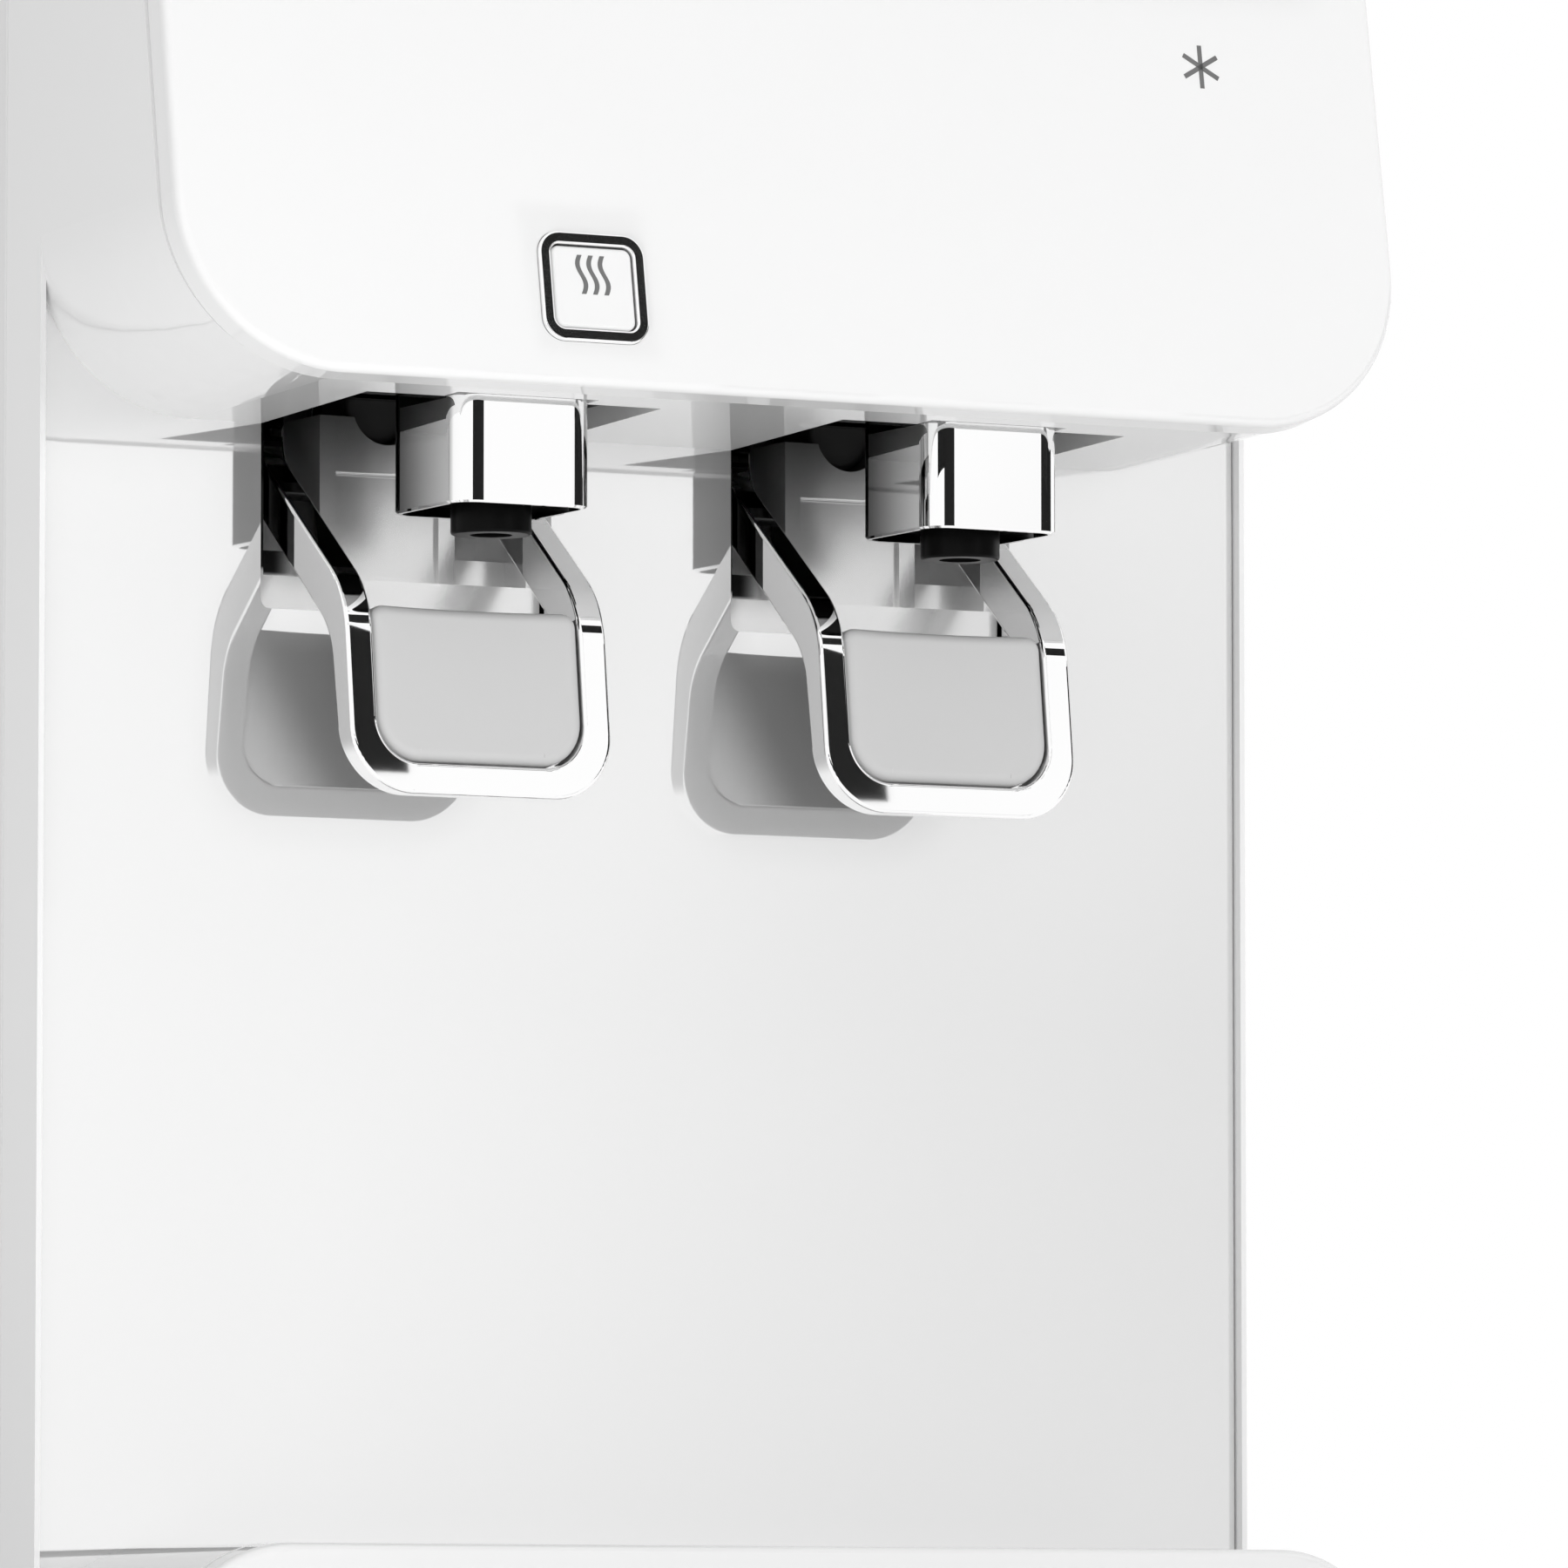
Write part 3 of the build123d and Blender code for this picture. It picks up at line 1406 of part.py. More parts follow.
def make_condenser():
    """Condenser: a serpentine tube on a fin plate, held off the back panel by four posts."""
    points = []
    for run in range(condenser_runs):
        z = condenser_low + run * condenser_pitch
        ends = [(-condenser_half, condenser_y, z), (condenser_half, condenser_y, z)]
        points += ends if run % 2 == 0 else ends[::-1]
    fin_y = condenser_y + condenser_tube - condenser_fin / 2
    fin_height = (condenser_runs - 1) * condenser_pitch + 2 * condenser_margin
    fin_z = condenser_low + (condenser_runs - 1) * condenser_pitch / 2
    with BuildPart() as condenser:
        with BuildLine():
            FilletPolyline(*points, radius=condenser_pitch * 0.45)
        with BuildSketch(Plane(origin=points[0], z_dir=(1, 0, 0))):
            Circle(condenser_tube)
        sweep()
        with BuildSketch(facing(fin_y + condenser_fin, 0, fin_z)):
            Rectangle(2 * (condenser_half + condenser_margin), fin_height)
        extrude(amount=condenser_fin)
        with BuildSketch(facing(back_inner, 0, fin_z)):
            with GridLocations(2 * condenser_half, fin_height - condenser_margin, 2, 2):
                Circle(condenser_post)
        extrude(amount=back_inner - fin_y)
    return condenser.part


def filter_places():
    """Sideways places of the three filters."""
    return {
        "sediment_filter": -filter_pitch,
        "carbon_filter": 0.0,
        "membrane_filter": filter_pitch,
    }


def make_manifold():
    """Filter manifold on the shelf, with a socket for each filter's neck."""
    with BuildPart() as manifold:
        with BuildSketch(Plane.XY.offset(shelf_z)):
            with Locations((0, filter_y)):
                RectangleRounded(manifold_width, manifold_depth, manifold_edge)
        extrude(amount=manifold_height)
        with BuildSketch(Plane.XY.offset(manifold_top)):
            for x in filter_places().values():
                with Locations((x, filter_y)):
                    Circle(filter_neck + running_gap)
        extrude(amount=-(filter_neck_length + seat_gap), mode=Mode.SUBTRACT)
    return manifold.part


def make_filter(x):
    """Filter cartridge with a neck below and a grip bar on top."""
    low = manifold_top + seat_gap
    with BuildPart() as cartridge:
        with BuildSketch(Plane.XY.offset(low)):
            with Locations((x, filter_y)):
                Circle(filter_radius)
        extrude(amount=filter_top - filter_grip_height - low)
        fillet(cartridge.edges(), filter_round)
        with BuildSketch(Plane.XY.offset(low)):
            with Locations((x, filter_y)):
                Circle(filter_neck)
        extrude(amount=-filter_neck_length)
        with BuildSketch(Plane.XY.offset(filter_top - filter_grip_height)):
            with Locations((x, filter_y)):
                Rectangle(2 * (filter_radius - filter_round), filter_grip_width)
        extrude(amount=filter_grip_height)
    return cartridge.part


def make_feed_valve():
    """Feed valve behind the water inlet, with its coil on top."""
    front = back_inner - inlet_inside
    with BuildPart() as valve:
        with BuildSketch(facing(front, inlet_x, inlet_z)):
            Rectangle(feed_width, feed_height)
        extrude(amount=feed_depth)
        with BuildSketch(Plane.XY.offset(inlet_z + feed_height / 2)):
            with Locations((inlet_x, front - feed_depth / 2)):
                Circle(feed_coil_radius)
        extrude(amount=feed_coil_height)
        with BuildSketch(Plane.XY.offset(pan_z)):
            with Locations((inlet_x, front - feed_depth / 2)):
                Rectangle(feed_width / 2, feed_depth / 2)
        extrude(amount=inlet_z - feed_height / 2 - pan_z)
    return valve.part


def make_power_board():
    """Power board on posts from the inner frame's right wall, with a transformer."""
    wall_x = frame_half - frame_sheet
    with BuildPart() as board:
        with BuildSketch(Plane.YZ.offset(power_x)):
            with Locations((power_y, power_z)):
                Rectangle(power_length, power_height)
        extrude(amount=-board_thickness)
        with BuildSketch(Plane.YZ.offset(power_x)):
            with Locations((power_y, power_z)):
                with GridLocations(power_length - 2 * power_margin, power_height - 2 * power_margin, 2, 2):
                    Circle(power_post)
        extrude(amount=wall_x - power_x)
        with BuildSketch(Plane.YZ.offset(power_x - board_thickness)):
            with Locations((power_y, power_z)):
                Rectangle(transformer_size, transformer_size)
        extrude(amount=-transformer_depth)
    return board.part


def hose_along(points, bends):
    """Round hose along straight runs joined by arcs."""
    with BuildPart() as hose:
        with BuildLine() as route:
            if bends:
                FilletPolyline(*points, radius=bends)
            else:
                Line(*points)
        with BuildSketch(Plane(origin=points[0], z_dir=route.line % 0)):
            Circle(hose_radius)
        sweep()
    return hose.part


def make_hoses():
    """Water hoses and outlet tubes inside the body, one solid each."""
    valve_low_z = hood_z + valve_low
    valve_high_z = valve_low_z + valve_height
    outlet_y = wall_y + outlet_setback
    outlet_z = hood_z + outlet_rise
    manifold_mid = shelf_z + manifold_height / 2
    feed_start = back_inner - inlet_inside - feed_depth
    rear = filter_y + manifold_depth / 2
    front = filter_y - manifold_depth / 2
    feed_riser_y = (rear + feed_start) / 2
    riser_x = frame_half - tank_riser_inset
    riser_y = front - tank_riser_lead
    tank_hose_z = top_z - tank_hose_headroom
    tank_hose_end_y = cold_y + tank_hose_end_back
    valve_y = valve_front_y + valve_depth - shell_wall
    valve_z = hood_z + plunger_rise
    feed = [
        (inlet_x, feed_start, inlet_z),
        (inlet_x, feed_riser_y, inlet_z),
        (inlet_x, feed_riser_y, manifold_mid),
        (inlet_x, rear, manifold_mid),
    ]
    filtered = [
        (riser_x, front, manifold_mid),
        (riser_x, riser_y, manifold_mid),
        (riser_x, riser_y, tank_hose_z),
        (tank_hose_end_x, tank_hose_end_y, tank_hose_z),
        (tank_hose_end_x, tank_hose_end_y, cold_high),
    ]
    hot_feed = [(hot_feed_x, hot_feed_y, hot_high), (hot_feed_x, hot_feed_y, cold_low)]
    hot_rise = [(dispensers["hot"], outlet_y, hot_high), (dispensers["hot"], outlet_y, valve_low_z)]
    cold_run = [(dispensers["cold"], valve_y, valve_z), (dispensers["cold"], spigot_y(), valve_z)]
    hoses = [
        hose_along(feed, [hose_bend, hose_bend]),
        hose_along(filtered, [hose_bend / 2, hose_bend, hose_bend / 2]),
        hose_along(hot_feed, []),
        hose_along(hot_rise, []),
        hose_along(cold_run, []),
    ]
    for x in dispensers.values():
        outlet = [
            (x, outlet_y, valve_high_z),
            (x, outlet_y, outlet_z),
            (x, spout_y, outlet_z),
            (x, spout_y, spout_top),
        ]
        hoses.append(hose_along(outlet, [outlet_bend, outlet_bend]))
    return Compound(children=hoses)


os.makedirs("parts", exist_ok=True)

save(make_front_frame(), "front_frame")
save(make_backsplash(), "backsplash_panel")
save(make_front_cover(), "front_cover")
save(make_bezel(), "button_bezel")
save(make_button(), "hot_lock_button")
save(make_control_board(), "control_board")

for name, place in dispensers.items():
    save(make_lever(place), f"{name}_lever")
    save(make_pad(place), f"{name}_pad")
    save(make_pivot_pin(place), f"{name}_pivot_pin")
    save(make_bracket(place), f"{name}_bracket")
    save(make_valve_body(place), f"{name}_valve_body")
    save(make_plunger(place), f"{name}_valve_plunger")
    save(make_spout(place), f"{name}_spout")
    save(make_nozzle(place), f"{name}_nozzle")
save(Compound(children=[make_button_spring(), *make_valve_springs().solids()]), "return_springs")
save(make_spout_mount(), "spout_mount")

save(make_tray_housing(), "tray_housing")
save(make_drip_tray(), "drip_tray")
save(make_tray_front(), "tray_front")
save(make_drip_grille(), "drip_grille")
save(make_chassis(), "base_chassis")
save(make_feet(), "rubber_feet")
save(make_side_panel(-1), "left_side_panel")
save(make_side_panel(1), "right_side_panel")
save(make_back_panel(), "back_panel")
save(make_screws(), "panel_screws")
save(make_top_cover(), "top_cover")
save(make_filter_lid(), "filter_lid")

save(make_water_inlet(), "water_inlet")
save(make_drain_plug(), "drain_plug")
save(make_drain_port(), "drain_port")
save(make_power_inlet(), "power_inlet")
save(make_switch_cases(), "switch_cases")
for name, place in rocker_places().items():
    save(make_rocker(place), f"{name}_switch")

save(make_inner_frame(), "inner_frame")
save(make_cold_tank(), "cold_tank")
save(make_cold_foam(), "cold_tank_insulation")
save(make_evaporator(), "evaporator_coil")
save(make_hot_tank(), "hot_tank")
heater_inner = hot_radius + seat_gap / 2
heater_outer = hot_radius + heater_thickness
save(ring(hot_x, hot_y, heater_inner, heater_outer, heater_low, heater_height), "hot_tank_heater")
jacket_inner = heater_outer + jacket_gap
jacket_outer = jacket_inner + jacket_thickness
save(ring(hot_x, hot_y, jacket_inner, jacket_outer, pan_z, hot_high - pan_z), "hot_tank_jacket")
save(make_compressor(), "compressor")
save(make_grommets(), "compressor_grommets")
save(make_condenser(), "condenser")
save(make_manifold(), "filter_manifold")
for name, place in filter_places().items():
    save(make_filter(place), name)
save(make_feed_valve(), "feed_valve")
save(make_power_board(), "power_board")
save(make_hoses(), "water_hoses")
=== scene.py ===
import json
from math import cos, pi, radians, sin, tan

import bmesh
import bpy
from mathutils import Matrix, Vector


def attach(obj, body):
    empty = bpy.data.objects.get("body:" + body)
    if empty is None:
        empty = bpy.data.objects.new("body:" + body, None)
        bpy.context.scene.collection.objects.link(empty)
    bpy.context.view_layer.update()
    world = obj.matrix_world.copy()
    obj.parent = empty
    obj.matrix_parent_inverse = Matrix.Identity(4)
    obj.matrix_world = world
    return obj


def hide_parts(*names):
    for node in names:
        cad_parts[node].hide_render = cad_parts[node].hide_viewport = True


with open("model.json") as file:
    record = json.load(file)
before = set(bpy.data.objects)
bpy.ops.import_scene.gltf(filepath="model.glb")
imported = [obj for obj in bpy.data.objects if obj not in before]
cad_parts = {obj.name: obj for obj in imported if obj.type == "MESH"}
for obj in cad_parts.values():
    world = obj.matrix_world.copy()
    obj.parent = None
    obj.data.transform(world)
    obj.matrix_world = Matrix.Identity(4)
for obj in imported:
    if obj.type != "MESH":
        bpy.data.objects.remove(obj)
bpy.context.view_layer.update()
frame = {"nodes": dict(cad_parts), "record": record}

# Water dispenser, in metres, in the frame of the solids.

MM = 0.001
nodes = frame["nodes"]

# Places that the solids give
hood_z = 287.0
wall_y = -184.3
spout_y = wall_y - 35.6
dispensers = {"hot": -52.5, "cold": 47.7}
cover_tilt = radians(9.4)
cover_low_z = 289.5
cover_front_y = -250.0 - 1.6 * (sin(cover_tilt) + cos(cover_tilt) - 1)
button_proud = 0.5
lever_lean = radians(6.8)
lever_drop = 71.9


# Shader groups

def new_group(name, inputs, outputs):
    """Empty shader group with its named sockets and its two end nodes."""
    group = bpy.data.node_groups.new(name, "ShaderNodeTree")
    for label, kind, value in inputs:
        socket = group.interface.new_socket(label, in_out="INPUT", socket_type=kind)
        socket.default_value = value
    for label, kind in outputs:
        group.interface.new_socket(label, in_out="OUTPUT", socket_type=kind)
    start = group.nodes.new("NodeGroupInput")
    end = group.nodes.new("NodeGroupOutput")
    return group, start, end


def add_node(tree, kind, **values):
    """New node with its settings and its unlinked sockets set."""
    node = tree.nodes.new(kind)
    for key, value in values.items():
        label = key.replace("_", " ").title()
        if label in node.inputs:
            node.inputs[label].default_value = value
        else:
            setattr(node, key, value)
    return node


def object_place(tree):
    """Socket with the place on the object."""
    return add_node(tree, "ShaderNodeTexCoord").outputs["Object"]


def make_skin_group():
    """Moulded or painted skin: slow drift of colour, roughness clouds and a fine grain."""
    group, start, end = new_group(
        "moulded_skin",
        [
            ("Colour", "NodeSocketColor", (1, 1, 1, 1)),
            ("Drift Colour", "NodeSocketColor", (1, 1, 1, 1)),
            ("Drift Scale", "NodeSocketFloat", 14.0),
            ("Grain Scale", "NodeSocketFloat", 900.0),
            ("Roughness Low", "NodeSocketFloat", 0.1),
            ("Roughness High", "NodeSocketFloat", 0.2),
        ],
        [("Colour", "NodeSocketColor"), ("Roughness", "NodeSocketFloat"), ("Height", "NodeSocketFloat")],
    )
    place = object_place(group)
    drift = add_node(group, "ShaderNodeTexNoise", detail=3.0)
    grain = add_node(group, "ShaderNodeTexNoise", detail=2.0)
    mix = add_node(group, "ShaderNodeMix", data_type="RGBA")
    spread = add_node(group, "ShaderNodeMapRange")
    link = group.links.new
    link(place, drift.inputs["Vector"])
    link(place, grain.inputs["Vector"])
    link(start.outputs["Drift Scale"], drift.inputs["Scale"])
    link(start.outputs["Grain Scale"], grain.inputs["Scale"])
    link(drift.outputs["Fac"], mix.inputs[0])
    link(start.outputs["Colour"], mix.inputs[6])
    link(start.outputs["Drift Colour"], mix.inputs[7])
    link(drift.outputs["Fac"], spread.inputs["Value"])
    link(start.outputs["Roughness Low"], spread.inputs["To Min"])
    link(start.outputs["Roughness High"], spread.inputs["To Max"])
    link(mix.outputs[2], end.inputs["Colour"])
    link(spread.outputs["Result"], end.inputs["Roughness"])
    link(grain.outputs["Fac"], end.inputs["Height"])
    return group


def make_brush_group():
    """Brushed or drawn metal: fine streaks along one axis, with slow clouds under them."""
    group, start, end = new_group(
        "brushed_streaks",
        [
            ("Colour", "NodeSocketColor", (1, 1, 1, 1)),
            ("Streak Colour", "NodeSocketColor", (1, 1, 1, 1)),
            ("Stretch", "NodeSocketVector", (20.0, 1400.0, 1400.0)),
            ("Roughness Low", "NodeSocketFloat", 0.2),
            ("Roughness High", "NodeSocketFloat", 0.35),
        ],
        [("Colour", "NodeSocketColor"), ("Roughness", "NodeSocketFloat"), ("Height", "NodeSocketFloat")],
    )
    place = object_place(group)
    scale = add_node(group, "ShaderNodeVectorMath", operation="MULTIPLY")
    streak = add_node(group, "ShaderNodeTexNoise", scale=1.0, detail=2.0)
    mix = add_node(group, "ShaderNodeMix", data_type="RGBA")
    spread = add_node(group, "ShaderNodeMapRange")
    link = group.links.new
    link(place, scale.inputs[0])
    link(start.outputs["Stretch"], scale.inputs[1])
    link(scale.outputs["Vector"], streak.inputs["Vector"])
    link(streak.outputs["Fac"], mix.inputs[0])
    link(start.outputs["Colour"], mix.inputs[6])
    link(start.outputs["Streak Colour"], mix.inputs[7])
    link(streak.outputs["Fac"], spread.inputs["Value"])
    link(start.outputs["Roughness Low"], spread.inputs["To Min"])
    link(start.outputs["Roughness High"], spread.inputs["To Max"])
    link(mix.outputs[2], end.inputs["Colour"])
    link(spread.outputs["Result"], end.inputs["Roughness"])
    link(streak.outputs["Fac"], end.inputs["Height"])
    return group


skin_group = make_skin_group()
brush_group = make_brush_group()


# Finishes

def rgba(value):
    """Colour with alpha from one grey value or three channels."""
    channels = (value, value, value) if isinstance(value, (int, float)) else tuple(value)
    return (*channels, 1.0)


def new_finish(name, group, settings, bump, bump_depth, **shader):
    """Material whose colour, roughness and bump come from a shader group."""
    material = bpy.data.materials.new(name)
    material.use_nodes = True
    tree = material.node_tree
    principled = tree.nodes["Principled BSDF"]
    for key, value in shader.items():
        principled.inputs[key.replace("_", " ").title().replace("Ior", "IOR")].default_value = value
    effect = add_node(tree, "ShaderNodeGroup", node_tree=group)
    for key, value in settings.items():
        effect.inputs[key].default_value = value
    height = add_node(tree, "ShaderNodeBump", strength=bump, distance=bump_depth)
    tree.links.new(effect.outputs["Colour"], principled.inputs["Base Color"])
    tree.links.new(effect.outputs["Roughness"], principled.inputs["Roughness"])
    tree.links.new(effect.outputs["Height"], height.inputs["Height"])
    tree.links.new(height.outputs["Normal"], principled.inputs["Normal"])
    return material


def skin(name, colour, drift, rough, grain=900.0, bump=0.02, clouds=14.0, depth=0.0001, **shader):
    """Moulded, painted or plated finish."""
    settings = {
        "Colour": rgba(colour),
        "Drift Colour": rgba(drift),
        "Drift Scale": clouds,
        "Grain Scale": grain,
        "Roughness Low": rough[0],
        "Roughness High": rough[1],
    }
    return new_finish(name, skin_group, settings, bump, depth, **shader)


def brushed(name, colour, streak, rough, stretch, bump=0.03, depth=0.00005, **shader):
    """Bare metal finish with streaks."""
    settings = {
        "Colour": rgba(colour),
        "Streak Colour": rgba(streak),
        "Stretch": stretch,
        "Roughness Low": rough[0],
        "Roughness High": rough[1],
    }
    return new_finish(name, brush_group, settings, bump, depth, metallic=1.0, **shader)


def chrome(name):
    return skin(name, 1.0, 0.97, (0.015, 0.03), grain=300.0, bump=0.002, metallic=1.0)


def silver(name):
    return skin(name, 0.93, 0.86, (0.16, 0.26), grain=1400.0, bump=0.05, metallic=0.75)


def satin(name, colour, drift):
    return skin(name, colour, drift, (0.22, 0.30), grain=1600.0, bump=0.01)


def silicone(name, colour, drift):
    return skin(name, colour, drift, (0.5, 0.62), grain=1800.0, bump=0.05)


finishes = {
    "white_gloss": skin(
        "white_gloss", 0.87, 0.85, (0.03, 0.05), grain=500.0, bump=0.004, coat_weight=0.3
    ),
    "white_satin": satin("white_satin", 0.82, 0.80),
    "button_white": satin("button_white", 0.88, 0.86),
    "chrome": chrome("chrome"),
    "pad_silicone": silicone("pad_silicone", 0.605, 0.575),
    "silver_plastic": silver("silver_plastic"),
    "black_plastic": skin(
        "black_plastic", 0.002, 0.003, (0.28, 0.36), grain=1500.0, bump=0.05, specular_ior_level=0.08
    ),
    "black_rubber": skin("black_rubber", 0.012, 0.020, (0.5, 0.65), grain=1800.0, bump=0.08),
    "grey_plastic": skin("grey_plastic", 0.36, 0.33, (0.38, 0.5), grain=1500.0, bump=0.06),
    "clear_hose": skin("clear_hose", 0.05, 0.07, (0.25, 0.35), bump=0.02),
    "foam": skin("foam", 0.045, 0.06, (0.85, 0.95), grain=700.0, bump=0.4, depth=0.0004),
    "black_enamel": skin("black_enamel", 0.014, 0.02, (0.18, 0.28), grain=700.0, bump=0.04),
    "circuit_board": skin(
        "circuit_board", (0.015, 0.10, 0.04), (0.02, 0.13, 0.05), (0.3, 0.42), clouds=220.0
    ),
    "filter_white": skin("filter_white", 0.80, 0.77, (0.2, 0.28), grain=1500.0, bump=0.03),
    "steel_sheet": brushed("steel_sheet", 0.52, 0.60, (0.32, 0.45), (60.0, 700.0, 700.0)),
    "stainless": brushed("stainless", 0.58, 0.68, (0.2, 0.32), (18.0, 1500.0, 1500.0)),
    "spring_steel": brushed("spring_steel", 0.42, 0.5, (0.2, 0.3), (900.0, 900.0, 60.0)),
    "copper": brushed(
        "copper", (0.60, 0.28, 0.16), (0.70, 0.36, 0.22), (0.22, 0.34), (300.0, 300.0, 300.0)
    ),
    "screw_steel": brushed("screw_steel", 0.46, 0.55, (0.22, 0.32), (500.0, 500.0, 500.0)),
    "wall_gloss": skin(
        "wall_gloss", 0.90, 0.88, (0.02, 0.035), grain=400.0, bump=0.003, metallic=0.7
    ),
    "printed_grey": skin("printed_grey", 0.14, 0.17, (0.4, 0.5), clouds=300.0),
    "printed_white": skin("printed_white", 0.75, 0.70, (0.4, 0.5), clouds=300.0),
}

for part in frame["record"]["subparts"]:
    node = nodes[part["node"]]
    node.data.materials.clear()
    node.data.materials.append(finishes[part["material_slot"]])
nodes["backsplash_panel"].data.materials[0] = finishes["wall_gloss"]
nodes["hot_lock_button"].data.materials[0] = finishes["button_white"]


def tint(material, source, way, band, tone, bare_roughness=None):
    """Tints a finish where its place or normal, measured along a way, passes through a band.

    With a bare roughness, the tinted part is left unplated too.
    """
    tree = material.node_tree
    principled = tree.nodes["Principled BSDF"]
    reach = add_node(tree, "ShaderNodeVectorMath", operation="DOT_PRODUCT")
    reach.inputs[1].default_value = way
    mask = add_node(tree, "ShaderNodeMapRange", interpolation_type="SMOOTHSTEP")
    mask.inputs["From Min"].default_value = band[0]
    mask.inputs["From Max"].default_value = band[1]
    colour = add_node(tree, "ShaderNodeMix", data_type="RGBA")
    colour.inputs[7].default_value = rgba(tone)
    link = tree.links.new
    link(add_node(tree, "ShaderNodeTexCoord").outputs[source], reach.inputs[0])
    link(reach.outputs["Value"], mask.inputs["Value"])
    link(mask.outputs["Result"], colour.inputs[0])
    link(principled.inputs["Base Color"].links[0].from_socket, colour.inputs[6])
    link(colour.outputs[2], principled.inputs["Base Color"])
    if bare_roughness is not None:
        plated = add_node(tree, "ShaderNodeMath", operation="SUBTRACT")
        plated.inputs[0].default_value = 1.0
        rough = add_node(tree, "ShaderNodeMix")
        rough.inputs[3].default_value = bare_roughness
        link(mask.outputs["Result"], plated.inputs[1])
        link(plated.outputs[0], principled.inputs["Metallic"])
        link(mask.outputs["Result"], rough.inputs[0])
        link(principled.inputs["Roughness"].links[0].from_socket, rough.inputs[2])
        link(rough.outputs[0], principled.inputs["Roughness"])


def lean_sides(material, lean):
    """Lets faces that look sideways shade as if they drew in a little towards the back."""
    tree = material.node_tree
    bump = tree.nodes["Principled BSDF"].inputs["Normal"].links[0].from_node
    normal = add_node(tree, "ShaderNodeTexCoord").outputs["Normal"]
    parts = add_node(tree, "ShaderNodeSeparateXYZ")
    size = add_node(tree, "ShaderNodeMath", operation="ABSOLUTE")
    mask = add_node(tree, "ShaderNodeMapRange", from_min=0.9, from_max=0.99, to_min=0.0, to_max=lean)
    back = add_node(tree, "ShaderNodeCombineXYZ")
    turned = add_node(tree, "ShaderNodeVectorMath", operation="ADD")
    unit = add_node(tree, "ShaderNodeVectorMath", operation="NORMALIZE")
    link = tree.links.new
    link(normal, parts.inputs[0])
    link(parts.outputs["X"], size.inputs[0])
    link(size.outputs[0], mask.inputs["Value"])
    link(mask.outputs["Result"], back.inputs["Y"])
    link(normal, turned.inputs[0])
    link(back.outputs[0], turned.inputs[1])
    link(turned.outputs[0], unit.inputs[0])
    link(unit.outputs[0], bump.inputs["Normal"])


# Directions, and where painted shades and other tints lie on the dispensers' pieces
left = (-1.0, 0.0, 0.0)
right = (1.0, 0.0, 0.0)
back = (0.0, 1.0, 0.0)
up = (0.0, 0.0, 1.0)
faces_side = (0.9, 0.99)
faces_back = (0.5, 0.7)
hood_low = hood_z * MM
bracket_shade = (0.272, 0.294)
ledge_z = 0.2605
window_shadow = (-0.0145, -0.0215)
spout_slant = (-0.85, 0.5, 0.0)
spout_shade = (0.004, 0.0195)
spout_lean = -0.05
pad_slant = (0.85, 0.0, 0.5)
pad_middle_z = 0.2365
pad_shade = (-0.022, -0.006)


def around(middle, band):
    """Band of distances set around a middle."""
    return (middle + band[0], middle + band[1])


lever_chrome = chrome("lever_chrome")
# Painted shade: the lever goes near black above the hood's lower edge, inside the hood.
tint(lever_chrome, "Object", up, (hood_low, hood_low + MM), tone=0.03)
tint(lever_chrome, "Normal", back, faces_back, tone=0.75, bare_roughness=0.45)
# Painted shade: faces of the lever that look left are darker.
tint(lever_chrome, "Normal", left, faces_side, tone=0.55)
pad_backs = {}
for name, x in dispensers.items():
    centre = x * MM
    nodes[f"{name}_lever"].data.materials[0] = lever_chrome
    spout = chrome(f"{name}_spout_chrome")
    lean_sides(spout, spout_lean)
    # Painted shade: faces of the spout that look left are darker.
    tint(spout, "Normal", left, faces_side, tone=0.5)
    spout_middle = spout_slant[0] * centre + spout_slant[1] * spout_y * MM
    # Painted shade: a near black band on the rear of the spout's left side, towards the wall.
    tint(spout, "Object", spout_slant, around(spout_middle, spout_shade), tone=0.03)
    nodes[f"{name}_spout"].data.materials[0] = spout
    nodes[f"{name}_pivot_pin"].data.materials[0] = finishes["black_enamel"]
    bracket = silver(f"{name}_bracket_silver")
    # Painted shadow of the hood: the bracket is darker near its top.
    tint(bracket, "Object", up, bracket_shade, tone=0.25)
    # Painted shadow in the window: the bracket is near black to the left of the lever's arm. Below the
    # ledge, the next tint sets a plain silver tone again, so the painted shadow stops there.
    tint(bracket, "Object", right, around(centre, window_shadow), tone=0.012)
    tint(bracket, "Object", up, (ledge_z, ledge_z - MM), tone=0.92)
    nodes[f"{name}_bracket"].data.materials[0] = bracket
    # Painted light and shade on the back of the pad: pale towards the lower left where light falls, near
    # black towards the upper right.
    pad_back = silicone(f"{name}_pad_back", 0.92, 0.88)
    pad_middle = pad_slant[0] * centre + pad_slant[2] * pad_middle_z
    tint(pad_back, "Object", pad_slant, around(pad_middle, pad_shade), tone=0.01)
    pad_backs[name] = pad_back
for side, inward in (("left", right), ("right", left)):
    # Painted shade: the faces of each side panel that look into the cabinet are near black.
    panel = satin(f"{side}_panel_paint_and_inner_shade", 0.82, 0.80)
    tint(panel, "Normal", inward, faces_side, tone=0.10)
    nodes[f"{side}_side_panel"].data.materials[0] = panel


# New pieces

